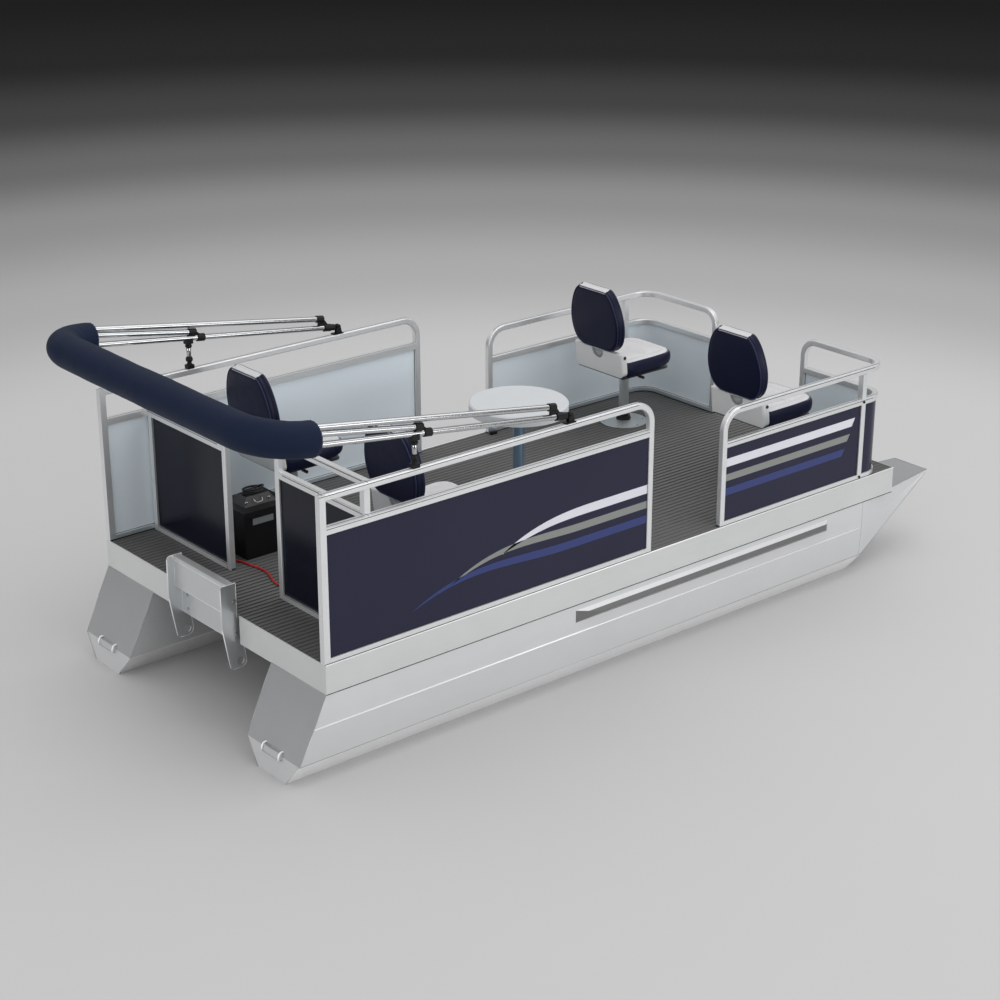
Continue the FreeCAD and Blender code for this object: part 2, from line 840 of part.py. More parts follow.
def jaw(start, start_gap, end_gap, side):
    """Slide round the main bow, linked to the cap on the start of another bow."""
    along, up = bimini_directions()
    across = size("bow_tube / 2")
    shell = across + size("jaw_wall")
    length = size("jaw_length")
    middle = bundle_point(start + size("jaw_shift"), 0, side)
    ring = Part.makeCylinder(shell, length, middle - along * (length / 2), along)
    low, high = bow_ends(start, start_gap, end_gap, side)
    run = (high - low).normalize()
    cap = Part.makeCylinder(shell - 1, length, low - run * size("jaw_wall"), run)
    thick = size("jaw_wall")
    near = bundle_point(start - length / 2, 0, side) - PORT * thick
    corners = [
        near + up * start_gap,
        near,
        middle - PORT * thick + along * (length / 4),
        middle - PORT * thick + along * (length / 4) + up * (shell / 2),
        near + along * (length / 2 + thick) + up * (start_gap + across / 2),
    ]
    link = Part.Face(Part.makePolygon(corners + corners[:1])).extrude(PORT * (2 * thick))
    gap = size("seat_gap")
    main = [bundle_point(size("hinge_x"), 0, side), bundle_point(size("boot_end"), 0, side)]
    return ring.multiFuse([cap, link]).cut(bow_leg(main, gap)).cut(bow_leg((low, high), gap))


def bow_eye(side):
    """Cap on the main bow's lower end with a flat eye for the hinge pin."""
    along, up = bimini_directions()
    pivot = bundle_point(size("hinge_x"), 0, side)
    across = size("bow_tube / 2")
    shell = across + size("jaw_wall") / 2
    set_back = size("bow_tube - jaw_wall")
    cap = Part.makeCylinder(shell, size("jaw_length"), pivot - along * (set_back + size("jaw_length")), along)
    thick = size("hinge_ear")
    tongue = [
        pivot - along * (set_back + thick) - up * across,
        pivot - up * (across - thick),
        pivot + up * (across - thick),
        pivot - along * (set_back + thick) + up * across,
    ]
    eye = Part.Face(Part.makePolygon(tongue + tongue[:1])).extrude(PORT * (2 * thick))
    eye.translate(PORT * -thick)
    disc = Part.makeCylinder(across - thick, 2 * thick, pivot - PORT * thick, PORT)
    bore = Part.makeCylinder(size("hinge_pin / 2 + turn_gap"), 4 * thick, pivot - PORT * (2 * thick), PORT)
    start = size(BOWS["bimini_main_bow"][0])
    leg = bow_leg(bow_ends(start, 0, 0, side), size("seat_gap"))
    return cap.multiFuse([eye, disc]).cut(bore).cut(leg)


def bimini_slides():
    """Jaws that slide on the main bows, and the main bows' eyes."""
    fittings = []
    for side in (-1, 1):
        for label in ("bimini_rear_bow", "bimini_front_bow"):
            fittings.append(jaw(*[size(text) for text in BOWS[label]], side))
        fittings.append(bow_eye(side))
    shaped("bimini_slides", Part.makeCompound(fittings))


def bimini_boot():
    """Cover round the folded canopy: two arms and a run across, joined by wide bends."""
    along = bimini_directions()[0]
    rise = size("boot_rise")
    aft = -size("boot_aft")
    starts = [bundle_point(size("boot_end"), rise, side) - along * size("seat_gap") for side in (-1, 1)]
    points = [starts[0], bundle_point(aft, rise, -1), bundle_point(aft, rise, 1), starts[1]]
    shaped("bimini_boot", round_tube(points, ["boot_bend"] * 2, "boot_size"))


def rail_foot(pivot, half_length, height):
    """Block on the top rail, as wide as the rail, about a point above it."""
    half_rail = size("tube / 2")
    rail = size("deck_top + stern_rail")
    fore = pivot.x + half_length
    return beam(pivot.x - half_length, fore, pivot.y - half_rail, pivot.y + half_rail, rail, rail + height)


def bimini_mounts():
    """Rail feet with two ears and a pin for each main bow."""
    rail = size("deck_top + stern_rail")
    ear = size("hinge_ear")
    room = ear + 2 * size("turn_gap")
    half_foot = size("hinge_foot / 2")
    lug = size("bow_tube / 2")
    mounts = []
    for side in (-1, 1):
        pivot = bundle_point(size("hinge_x"), 0, side)
        shapes = []
        for y0 in (pivot.y + room, pivot.y - room - ear):
            corners = [
                spot(pivot.x - 2 * ear, y0, rail),
                spot(pivot.x + half_foot - ear, y0, rail),
                spot(pivot.x + lug, y0, pivot.z + lug),
                spot(pivot.x - 2 * ear, y0, pivot.z + lug),
            ]
            shapes.append(rounded_face(corners, [0, 0, lug / 2, lug / 2]).extrude(PORT * ear))
        pin_length = 2 * (room + 2 * ear)
        start = spot(pivot.x, pivot.y - pin_length / 2, pivot.z)
        shapes.append(Part.makeCylinder(size("hinge_pin / 2"), pin_length, start, PORT))
        mounts.append(rail_foot(pivot, half_foot, ear).multiFuse(shapes))
    shaped("bimini_mounts", Part.makeCompound(mounts))


def bimini_struts():
    """Short posts on the rails whose saddles carry the folded bundle."""
    rail = size("deck_top + stern_rail")
    half = size("strut_block / 2")
    across = size("bow_tube")
    struts = []
    for side in (-1, 1):
        carried = bundle_point(size("strut_x"), 0, side)
        foot = spot(carried.x, carried.y, rail + half)
        saddle_foot = carried.z - across
        clamp = rail_foot(carried, half, half)
        rod = Part.makeCylinder(size("strut_rod / 2"), saddle_foot - rail - half, foot)
        ball = Part.makeSphere(size("strut_rod * 0.7"), foot)
        saddle = rail_foot(carried, half, across)
        saddle.translate(spot(0, 0, saddle_foot - rail))
        bundle = bow_leg((bundle_point(size("hinge_x"), 0, side), bundle_point(0, 0, side)), size("seat_gap"))
        struts.append(clamp.multiFuse([rod, ball, saddle]).cut(bundle))
    shaped("bimini_struts", Part.makeCompound(struts))


bimini_bows()
bimini_slides()
bimini_boot()
bimini_mounts()
bimini_struts()


# Seats

SEAT_LINE = "(%s - tube - seat_room)" % FENCE
SEATS = {
    "seat_bow_port": ("stern_x + seat_fore_x", SEAT_LINE),
    "seat_bow_starboard": ("stern_x + seat_fore_x", "-(%s - seat_fore_extra)" % SEAT_LINE),
    "seat_stern_port": ("stern_x + seat_aft_x", SEAT_LINE),
    "seat_stern_starboard": ("stern_x + seat_aft_starboard_x", "-(%s - seat_aft_extra)" % SEAT_LINE),
}
PAN_FOOT = "deck_top + seat_post_height + turn_gap + seat_plate_height"
CUSHION_FOOT = PAN_FOOT + " + pan_wall"
FOLD_X = "seat_front - seat_depth - fold_set"
FOLD_Z = CUSHION_FOOT + " + cushion_height + fold_rise"


def seat_pedestals():
    """Dished foot, collar and post under each seat, turned in one profile."""
    profile = [
        ("0", "0"),
        ("seat_disc / 2", "0"),
        ("seat_disc / 2", "seat_disc_rim"),
        ("seat_collar / 2", "seat_disc_height"),
        ("seat_collar / 2 - seat_disc_rim", "seat_collar_height"),
        ("seat_post / 2", "seat_collar_height"),
        ("seat_post / 2", "seat_post_height"),
        ("0", "seat_post_height"),
    ]
    stands = [turned(name + "_stand", profile, x, y, "deck_top") for name, (x, y) in SEATS.items()]
    group("seat_pedestals", stands)


def seat_cheek(way, pan_x, rise):
    """Cheek on the pan with the back's fold pin and its head."""
    cheek_out = size("back_width / 2 - shell_wall - fold_gap")
    arm = size("fold_arm")
    lug = size("pin_head / 2 + fold_gap")
    inner = way * (cheek_out - arm)
    foot_x = pan_x + size("fold_foot_set")
    corners = [
        spot(foot_x, inner),
        spot(foot_x + 2 * lug, inner),
        spot(pan_x + lug, inner, rise + lug),
        spot(pan_x - lug, inner, rise + lug),
    ]
    cheek = rounded_face(corners, [0, 0, lug * 0.9, lug * 0.9]).extrude(PORT * (way * arm))
    pivot = spot(pan_x, inner, rise)
    head_start = spot(pan_x, way * size("back_width / 2 + fold_gap"), rise)
    head_wall = size("pin_head_wall")
    pin_length = abs(head_start.y - inner) + head_wall / 2
    pin = Part.makeCylinder(size("fold_pin / 2"), pin_length, pivot, PORT * way)
    head = Part.makeCylinder(size("pin_head / 2"), head_wall, head_start, PORT * way)
    return cheek.fuse(pin).fuse(head)


def swivel(name, x, y):
    """Hub, plate and pan that turn with a seat, a height lever, and two cheeks with the back's fold pins."""
    pan_x = size(FOLD_X)
    rise = size(FOLD_Z) - size(PAN_FOOT)
    half_plate = size("seat_plate / 2")
    drop = size("seat_plate_height")
    plate_wall = size("seat_plate_wall")
    hub = Part.makeCylinder(size("seat_hub / 2"), drop, spot(0, 0, -drop))
    plate = beam(-half_plate, half_plate, -half_plate, half_plate, -plate_wall, 0)
    cheek_out = size("back_width / 2 - shell_wall - fold_gap")
    round_front = size("pan_round")
    front = size("seat_front") - round_front
    corners = [
        spot(pan_x, -cheek_out),
        spot(front, -cheek_out),
        spot(front, cheek_out),
        spot(pan_x, cheek_out),
    ]
    pan = rounded_face(corners, [0, round_front, round_front, 0]).extrude(spot(0, 0, size("pan_wall")))
    lever = size("lever_size")
    grip = size("lever_length / 3")
    start = spot(-half_plate * 0.6, -half_plate + lever, -plate_wall / 2 - lever / 4)
    rod = Part.makeCylinder(lever / 2, size("lever_length"), start, PORT * -1)
    handle = Part.makeCylinder(lever, grip, start - PORT * (size("lever_length") - grip / 2), PORT * -1)
    shapes = [plate, pan, rod, handle] + [seat_cheek(way, pan_x, rise) for way in (-1, 1)]
    shaped(name + "_swivel", hub.multiFuse(shapes).removeSplitter(), x, y, PAN_FOOT)


def cushion(name, x, y):
    """Padded seat with rounded corners and a rolled upper edge."""
    half = size("seat_width / 2")
    front = size("seat_front")
    rear = front - size("seat_depth")
    high = size("cushion_height")
    corners = [spot(rear, -half), spot(front, -half), spot(front, half), spot(rear, half)]
    rear_round = size("seat_rear_round")
    front_round = size("seat_front_round")
    radii = [rear_round, front_round, front_round, rear_round]
    block = rounded_face(corners, radii).extrude(spot(0, 0, high))
    rim = [e for e in block.Edges if e.BoundBox.ZMin > high / 2]
    shaped(name + "_cushion", block.makeFillet(size("seat_rim_round"), rim), x, y, CUSHION_FOOT)


def back_frame():
    """Moulded frame about its fold axis: a wall with a hand hole, side wings with pin holes, and a shelf."""
    half = size("back_width / 2")
    wall = size("shell_wall")
    rear = -size("shell_back")
    fore = size("shell_fore")
    top = size("shell_rise")
    drop = size("shell_drop")
    bend = size("shell_round")
    corner = size("shell_corner")
    plan = [
        spot(rear, -half, -drop),
        spot(fore, -half, -drop),
        spot(fore, half, -drop),
        spot(rear, half, -drop),
    ]
    tall = spot(0, 0, top + drop)
    shell = rounded_face(plan, [corner, 0, 0, corner]).extrude(tall)
    room = [
        spot(rear + wall, wall - half, -drop),
        spot(2 * fore, wall - half, -drop),
        spot(2 * fore, half - wall, -drop),
        spot(rear + wall, half - wall, -drop),
    ]
    inner_corner = corner - wall
    room_face = rounded_face(room, [inner_corner, 0, 0, inner_corner])
    shell = shell.cut(room_face.extrude(tall - spot(0, 0, wall)))
    side = [
        spot(rear, -half, top),
        spot(rear, -half, -drop),
        spot(fore, -half, -drop),
        spot(fore, -half, 0),
        spot(0, -half, top / 2),
        spot(0, -half, top),
    ]
    side_face = rounded_face(side, [0, bend / 4, bend / 2, bend / 2, 0, 0])
    shell = shell.common(side_face.extrude(PORT * (2 * half)))
    face = [
        spot(rear, -half, -drop),
        spot(rear, half, -drop),
        spot(rear, half, top),
        spot(rear, -half, top),
    ]
    shell = shell.common(rounded_face(face, [bend, bend, 0, 0]).extrude(spot(fore - rear, 0, 0)))
    hole = size("hand_hole")
    shell = shell.cut(Part.makeCylinder(hole, 2 * wall, spot(rear - wall, 0, top - wall - 1), FORE))
    pins = Part.makeCylinder(size("fold_pin / 2 + turn_gap"), 2 * half, spot(0, -half, 0), PORT)
    return shell.cut(pins)


def back_pad():
    """Pad about the fold axis: straight foot, widest at the waist, narrower at the crown."""
    foot = size("shell_rise + seat_gap")
    waist = foot + size("back_waist")
    crown = foot + size("back_height")
    rear = -size("back_set")
    base_half = size("back_base / 2")
    half = size("back_width / 2")
    crown_half = size("back_crown / 2")
    corners = [
        spot(rear, -base_half, foot),
        spot(rear, base_half, foot),
        spot(rear, half, waist),
        spot(rear, crown_half, crown),
        spot(rear, -crown_half, crown),
        spot(rear, -half, waist),
    ]
    radii = [base_half / 5, base_half / 5, half / 2, crown_half / 5, crown_half / 5, half / 2]
    block = rounded_face(corners, radii).extrude(spot(size("back_thick"), 0, 0))
    front = [e for e in block.Edges if e.BoundBox.XMin > 0]
    return block.makeFillet(size("back_round"), front)


def seat_back(name, x, y):
    """Frame and pad leaned back about the fold axis."""
    for label, shape in ((name + "_back_frame", back_frame()), (name + "_back_pad", back_pad())):
        shaped(label, shape, "%s + %s" % (x, FOLD_X), y, FOLD_Z, "-back_lean")


seat_pedestals()
for name, (x, y) in SEATS.items():
    swivel(name, x, y)
    cushion(name, x, y)
    seat_back(name, x, y)


# Table


def table():
    """Socket foot, lift-out post and a moulded round top with a skirt and a hub."""
    x = "stern_x + table_x"
    foot = [
        ("0", "0"),
        ("table_base / 2", "0"),
        ("table_base / 2", "table_base_wall / 2"),
        ("table_socket / 2", "table_base_wall"),
        ("table_socket / 2", "table_socket_height"),
        ("table_post / 2 + seat_gap", "table_socket_height"),
        ("table_post / 2 + seat_gap", "table_base_wall"),
        ("0", "table_base_wall"),
    ]
    keep(turned("TableFoot", foot, x, "0", "deck_top"), "table_base")
    low = "table_base_wall + seat_gap"
    height = "table_top - table_thick - (%s)" % low
    keep(cylinder("TablePost", "table_post", height, x, "0", "deck_top + " + low), "table_post")
    top = [
        ("0", "0"),
        ("table_post", "0"),
        ("table_post", "table_thick - table_wall"),
        ("table_size / 2 - table_wall", "table_thick - table_wall"),
        ("table_size / 2 - table_wall", "0"),
        ("table_size / 2", "0"),
        ("table_size / 2", "table_thick - table_wall / 2"),
        ("table_size / 2 - table_wall / 2", "table_thick"),
        ("0", "table_thick"),
    ]
    keep(turned("TableTop", top, x, "0", "deck_top + table_top - table_thick"), "table_top")


table()


# Battery box


def tapered(body, name, low, high, foot, top):
    """Block between two rectangles of half sizes, the lower at foot and the upper at top."""
    start = outline(body, name + "Low", "XY_Plane", rectangle(*low), foot)
    end = outline(body, name + "High", "XY_Plane", rectangle(*high), top)
    loft = body.newObject("PartDesign::AdditiveLoft", name)
    loft.Profile = start
    loft.Sections = [end]
    loft.Ruled = True
    return loft


BATTERY_X = "stern_x + battery_x + battery_length / 2"
HUMP_TOP = "deck_top + battery_height + battery_lip + hump_height"


def fused(name, base, tool):
    thing = doc.addObject("Part::Fuse", name)
    thing.Base = base
    thing.Tool = tool
    return thing


def battery_box():
    """Tapered case with the battery standing in it."""
    case = doc.addObject("PartDesign::Body", "BatteryCase")
    low = ("battery_length / 2 - battery_draft", "battery_width / 2 - battery_draft")
    high = ("battery_length / 2", "battery_width / 2")
    tapered(case, "BatteryShell", low, high, "0", "battery_height")
    depth = "battery_height - 2 * battery_wall"
    inset = "battery_draft - battery_wall"
    inside = rectangle("battery_length / 2 - " + inset, "battery_width / 2 - " + inset)
    pocket(case, outline(case, "BatteryRoom", "XY_Plane", inside, "battery_height"), depth)
    place(case, BATTERY_X, "battery_y", "deck_top")
    battery = box(
        "Battery", "battery_length - 2 * battery_draft - 4 * battery_wall",
        "battery_width - 2 * battery_draft - 4 * battery_wall", "battery_height - 8 * battery_wall",
        BATTERY_X, "battery_y", "deck_top + 2 * battery_wall + seat_gap",
    )
    gland = cylinder("BatteryGland", "gland_size", "gland_length + battery_draft", "0", "0", "0")
    gland.Placement.Rotation = FreeCAD.Rotation(PORT, -90)
    place(gland, "stern_x + battery_x + battery_draft", "gland_y", "deck_top + gland_height")
    group("battery_box", [fused("BatteryCaseGland", case, gland), battery])


def battery_lid():
    """Skirted lid with a raised middle and a gland on it."""
    lid = doc.addObject("PartDesign::Body", "Lid")
    outer = rectangle("battery_length / 2 + battery_lip", "battery_width / 2 + battery_lip")
    pad(lid, outline(lid, "LidOuter", "XY_Plane", outer, "-lid_skirt"), "lid_skirt + battery_lip")
    inner = rectangle("battery_length / 2 + lid_gap", "battery_width / 2 + lid_gap")
    pocket(lid, outline(lid, "LidRoom", "XY_Plane", inner, "-lid_skirt"), "lid_skirt", reverse=True)
    low = ("hump_length / 2", "hump_width / 2")
    high = ("hump_length / 2 - hump_slope", "hump_width / 2 - hump_slope")
    tapered(lid, "LidHump", low, high, "battery_lip", "battery_lip + hump_height")
    place(lid, BATTERY_X, "battery_y", "deck_top + battery_height")
    sunk = HUMP_TOP + " - battery_lip"
    gland = cylinder("LidGland", "gland_size", "gland_length + battery_lip", BATTERY_X, "battery_y", sunk)
    keep(fused("BatteryLid", lid, gland), "battery_lid")


battery_box()
battery_lid()


# Cables


def cord_tube(label, route, across):
    """Tube of straight runs joined by arcs as large as their runs allow; prints its arcs and its length."""
    radii = []
    for i in range(1, len(route) - 1):
        back = route[i] - route[i - 1]
        ahead = route[i + 1] - route[i]
        turn = back.getAngle(ahead)
        radii.append(0.45 * min(back.Length, ahead.Length) / math.tan(turn / 2))
    tube = round_tube(route, radii, across)
    section = math.pi * size(across) ** 2 / 4
    print("%s: radii %s, length %.1f" % (label, [round(radius) for radius in radii], tube.Volume / section))
    shaped(label, tube)
    return tube


def battery_cable():
    """Red lead from the battery box's gland down to the deck and across it to its plug."""
    lie = size("deck_top + seat_gap + cable_size / 2")
    gland = spot(size("stern_x + battery_x - gland_length"), size("gland_y"), size("deck_top + gland_height"))
    hanging = [
        (0, 0, 0),
        (-26, -1, -0.5),
        (-47, -9, -3),
        (-63, -24, -8),
        (-72, -45, -14.5),
        (-73, -69, -24),
        (-70, -95, -35.5),
        (-63, -122, -47),
        (-52, -150, -56),
    ]
    route = [gland + spot(*step) for step in hanging]
    lying = [
        (-37, -179),
        (-21, -214),
        (-10, -258),
        (-3, -314),
        (13, -376),
        (9, -444),
        (-15, -506),
        (-36, -568),
        (-33, -630),
        (-8, -688),
        (3, -750),
        (-10, -810),
    ]
    route += [spot(gland.x + x, gland.y + y, lie) for x, y in lying]
    route.append(route[-1] + spot(-12, -46, size("plug_size / 2 - cable_size / 2")))
    cable = cord_tube("battery_cable", route, "cable_size")
    ahead = route[-1] - route[-2]
    ahead.z = 0
    ahead.normalize()
    half = size("plug_size / 2")
    low = size("deck_top + seat_gap")
    across = ahead.cross(FreeCAD.Vector(0, 0, 1))
    start = spot(route[-1].x, route[-1].y, low)
    length = size("plug_length")
    corners = [
        start - across * half,
        start + across * half,
        start + across * half + ahead * length,
        start - across * half + ahead * length,
    ]
    body = rounded_face(corners, [half / 2, half / 2, half / 4, half / 4]).extrude(spot(0, 0, 2 * half))
    shaped("battery_plug", body.cut(cable))


def battery_leads():
    """Outer shape of the coil of black lead that lies on the lid's raised middle."""
    half_x = size("coil_length / 2")
    half_y = size("coil_width / 2")
    thick = size("coil_band")
    corners = [spot(-half_x, -half_y), spot(half_x, -half_y), spot(half_x, half_y), spot(-half_x, half_y)]
    inner = [
        spot(thick - half_x, thick - half_y),
        spot(half_x - thick, thick - half_y),
        spot(half_x - thick, half_y - thick),
        spot(thick - half_x, half_y - thick),
    ]
    tall = spot(0, 0, size("coil_height"))
    ring = rounded_face(corners, [half_y * 0.9] * 4).extrude(tall)
    ring = ring.cut(rounded_face(inner, [(half_y - thick) * 0.9] * 4).extrude(tall))
    shaped("battery_leads", ring, BATTERY_X, "battery_y", HUMP_TOP + " + seat_gap")


battery_cable()
battery_leads()


# Checks and files


def check_and_write():
    doc.recompute()
    for thing in doc.Objects:
        for word in thing.State:
            if word in ("Invalid", "Error"):
                raise RuntimeError("%s is %s" % (thing.Name, word))
    for piece in pieces:
        shape = piece.Shape
        if shape.isNull() or not shape.isValid() or not shape.Solids:
            raise RuntimeError("%s has no sound shape" % piece.Label)
    for piece in pieces:
        piece.Shape.exportStep("parts/%s.step" % piece.Label)
    print("%d pieces" % len(pieces))


check_and_write()
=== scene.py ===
"""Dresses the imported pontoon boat: camera, light, finishes, soft goods, leads and small hardware."""
import json
import math

import bmesh
import bpy
import numpy as np
from mathutils import Matrix, Vector, noise


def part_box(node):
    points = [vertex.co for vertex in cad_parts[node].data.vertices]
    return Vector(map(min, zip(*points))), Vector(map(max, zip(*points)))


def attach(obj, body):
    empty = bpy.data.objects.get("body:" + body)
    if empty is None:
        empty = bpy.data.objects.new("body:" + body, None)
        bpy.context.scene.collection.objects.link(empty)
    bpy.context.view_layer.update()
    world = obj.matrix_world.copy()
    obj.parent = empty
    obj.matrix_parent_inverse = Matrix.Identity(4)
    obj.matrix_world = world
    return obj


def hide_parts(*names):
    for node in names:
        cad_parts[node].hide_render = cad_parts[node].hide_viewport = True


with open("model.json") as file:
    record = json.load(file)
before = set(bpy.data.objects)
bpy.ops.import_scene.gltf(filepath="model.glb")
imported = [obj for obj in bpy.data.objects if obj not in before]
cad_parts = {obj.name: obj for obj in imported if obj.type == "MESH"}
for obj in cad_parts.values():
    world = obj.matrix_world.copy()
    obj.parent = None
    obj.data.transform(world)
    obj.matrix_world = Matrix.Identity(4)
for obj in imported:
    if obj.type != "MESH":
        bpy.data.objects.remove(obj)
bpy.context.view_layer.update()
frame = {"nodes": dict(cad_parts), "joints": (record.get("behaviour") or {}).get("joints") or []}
NODES = frame["nodes"]
JOINTS = {joint["name"]: Vector(joint["pos_m"]) for joint in frame["joints"] if "pos_m" in joint}
SEAT_NAMES = ("seat_bow_port", "seat_bow_starboard", "seat_stern_port", "seat_stern_starboard")
UP = Vector((0, 0, 1))
FORE = Vector((1, 0, 0))
PORT = Vector((0, 1, 0))
SIDES = (-1, 1)
X_AXIS = 0
Z_AXIS = 2


def low(node):
    return Vector(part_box(node)[0])


def high(node):
    return Vector(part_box(node)[1])


def centre(node):
    return (low(node) + high(node)) / 2


STERN = low("fascia").x
DECK = high("deck").z


def at(x, y, z):
    """Point given from the stern's edge of the deck, the middle line and the deck's top."""
    return Vector((STERN + x, y, DECK + z))


def placed(name, data):
    """New object in the scene."""
    thing = bpy.data.objects.new(name, data)
    bpy.context.scene.collection.objects.link(thing)
    return thing


# Camera

CAMERA_SPOT = at(-4.97936, -8.15307, 4.27815)
CAMERA_TURN = 0.870849
CAMERA_DIP = 0.378346
CAMERA_LENS = 75.25
SENSOR = 36.0


def camera():
    lens = bpy.data.cameras.new("Camera")
    lens.lens = CAMERA_LENS
    lens.sensor_width = SENSOR
    lens.sensor_fit = "HORIZONTAL"
    lens.clip_end = 200
    thing = placed("Camera", lens)
    thing.location = CAMERA_SPOT
    thing.rotation_euler = (math.pi / 2 - CAMERA_DIP, 0, CAMERA_TURN - math.pi / 2)
    bpy.context.scene.camera = thing


camera()


# Nodes of a material or of the world

FINISHES = {}
FIRST_COLOUR = 6
SECOND_COLOUR = 7
MIXED_COLOUR = 2


def grey(level):
    return (level, level, level)


def shade(colour, factor):
    return tuple(min(1.0, part * factor) for part in colour)


class Nodes:
    """Adds nodes to a tree one by one."""

    def __init__(self, tree):
        self.tree = tree

    def feed(self, socket, value):
        if isinstance(value, bpy.types.NodeSocket):
            self.tree.links.new(value, socket)
        else:
            socket.default_value = value

    def node(self, kind, inputs=None, out=0, **settings):
        made = self.tree.nodes.new("ShaderNode" + kind)
        for key, value in settings.items():
            setattr(made, key, value)
        for key, value in (inputs or {}).items():
            self.feed(made.inputs[key], value)
        return made.outputs[out]

    def math(self, operation, a, b=0.0, **settings):
        return self.node("Math", {0: a, 1: b}, operation=operation, **settings)

    def apart(self, a, b):
        """Distance between two values."""
        return self.math("ABSOLUTE", self.math("SUBTRACT", a, b))

    def ramp(self, value, steps, blend="LINEAR"):
        """Colours at (place, colour) steps, the first at 0 and the last at 1."""
        ramp = self.node("ValToRGB", {0: value})
        ramp.node.color_ramp.interpolation = blend
        elements = ramp.node.color_ramp.elements
        for place, _ in steps[1:-1]:
            elements.new(place)
        for element, (_, colour) in zip(elements, steps):
            element.color = (*colour, 1)
        return ramp


class Finish(Nodes):
    """A Principled material, kept under its name."""

    def __init__(self, name, slot, **sockets):
        self.material = bpy.data.materials.new(name)
        self.material.use_nodes = True
        super().__init__(self.material.node_tree)
        self.slot = slot
        self.shader = self.tree.nodes["Principled BSDF"]
        for key, value in sockets.items():
            self.shader.inputs[key.replace("_", " ")].default_value = value
        FINISHES[name] = self

    def place(self):
        return self.node("TexCoord", out="Object")

    def axis(self, name, vector=None):
        return self.node("SeparateXYZ", {0: vector or self.place()}, out=name)

    def facing(self, part=None, kind="True Normal"):
        """Direction that a face looks in, or one part of it."""
        normal = self.node("NewGeometry", out=kind)
        return self.axis(part, normal) if part else normal

    def vector(self, operation, a, b, out=0):
        return self.node("VectorMath", {0: a, 1: b}, out, operation=operation)

    def outward(self, middle, parts):
        """Above zero where a face looks away from a point, over the parts of the distance that count."""
        away = self.vector("MULTIPLY", self.vector("SUBTRACT", self.place(), middle), parts)
        return self.vector("DOT_PRODUCT", away, self.facing(), "Value")

    def cloud(self, scale, detail=4.0, stretch=(1, 1, 1), roughness=0.55, distortion=0.0):
        inputs = {"Vector": self.stretched(stretch), "Scale": scale, "Detail": detail}
        inputs.update({"Roughness": roughness, "Distortion": distortion})
        return self.node("TexNoise", inputs)

    def stretched(self, scale):
        return self.node("Mapping", {"Vector": self.place(), "Scale": scale})

    def cells(self, scale, feature="F1"):
        inputs = {"Vector": self.stretched((1, 1, 1)), "Scale": scale}
        return self.node("TexVoronoi", inputs, out="Distance", feature=feature)

    def span(self, value, start, stop, low_end=0.0, high_end=1.0):
        """Value spread from one range to another and held within it."""
        inputs = {"Value": value, "From Min": start, "From Max": stop}
        inputs.update({"To Min": low_end, "To Max": high_end})
        return self.node("MapRange", inputs)

    def blend(self, share, a, b, **settings):
        """Colour a where share is 0 and b where it is 1."""
        inputs = {"Factor": share, FIRST_COLOUR: self.colour(a), SECOND_COLOUR: self.colour(b)}
        return self.node("Mix", inputs, MIXED_COLOUR, data_type="RGBA", **settings)

    def colour(self, value):
        return value if isinstance(value, bpy.types.NodeSocket) else (*value, 1.0)

    def bump(self, height, depth, strength=1.0):
        below = self.shader.inputs["Normal"]
        inputs = {"Height": height, "Distance": depth, "Strength": strength}
        if below.is_linked:
            inputs["Normal"] = below.links[0].from_socket
        self.feed(below, self.node("Bump", inputs))

    def paint(self, value):
        self.feed(self.shader.inputs["Base Color"], value)

    def painted(self):
        """Colour that the material has so far."""
        return self.shader.inputs["Base Color"].links[0].from_socket

    def mottle(self, share, colour, darker, lighter):
        """A colour that goes from a darker to a lighter tone."""
        self.paint(self.blend(share, shade(colour, darker), shade(colour, lighter)))

    def gloss(self, value, start, stop, smooth, rough):
        """Roughness that follows a value from one end of a range to the other."""
        self.feed(self.shader.inputs["Roughness"], self.span(value, start, stop, smooth, rough))


def metal(
    name, slot, colour, roughness, brush, spread=0.10, contrast=0.05, dents=0.0, metallic=1.0, grain=0.00002
):
    """Metal with streaks along its grain, cloudy tone and a faint scratch pattern."""
    finish = Finish(name, slot, Metallic=metallic)
    streaks = finish.cloud(90, 5.0, brush, 0.62)
    tone = finish.cloud(2.3, 3.0)
    smudge = finish.cloud(11, 4.0, distortion=0.6)
    mixed = finish.node("Math", {0: streaks, 1: 0.45, 2: tone}, operation="MULTIPLY_ADD")
    finish.mottle(finish.span(mixed, 0.45, 1.05), colour, 1 - contrast, 1 + contrast)
    worn = finish.math("MULTIPLY", finish.math("ADD", streaks, smudge), 0.5)
    finish.gloss(worn, 0.3, 0.7, roughness - spread / 2, roughness + spread / 2)
    finish.bump(streaks, grain)
    if dents:
        finish.bump(finish.cloud(3.2, 2.0, (1, 1.6, 1.6)), dents)
    return finish


def plastic(name, slot, colour, roughness, grain=900, depth=0.00008, contrast=0.10, **sockets):
    """Moulded plastic or enamel with a fine skin, handling marks and a slight uneven tone."""
    finish = Finish(name, slot, **sockets)
    finish.mottle(finish.cloud(5, 3.0, distortion=0.4), colour, 1 - contrast, 1 + contrast)
    marks = finish.cloud(38, 6.0, roughness=0.7)
    finish.gloss(marks, 0.3, 0.75, roughness - 0.06, roughness + 0.09)
    finish.bump(finish.cells(grain), depth)
    return finish


# Finishes of the boat

MIDSHIP = 2.0
ALONG = (0.05, 1.0, 1.0)
ACROSS = (1.0, 0.05, 1.0)
UPRIGHT = (1.0, 1.0, 0.05)
ROUND = (1.0, 1.0, 1.0)
NOSE_SEAM = 3.772
NOSE_SEAM_HALF = 0.0016


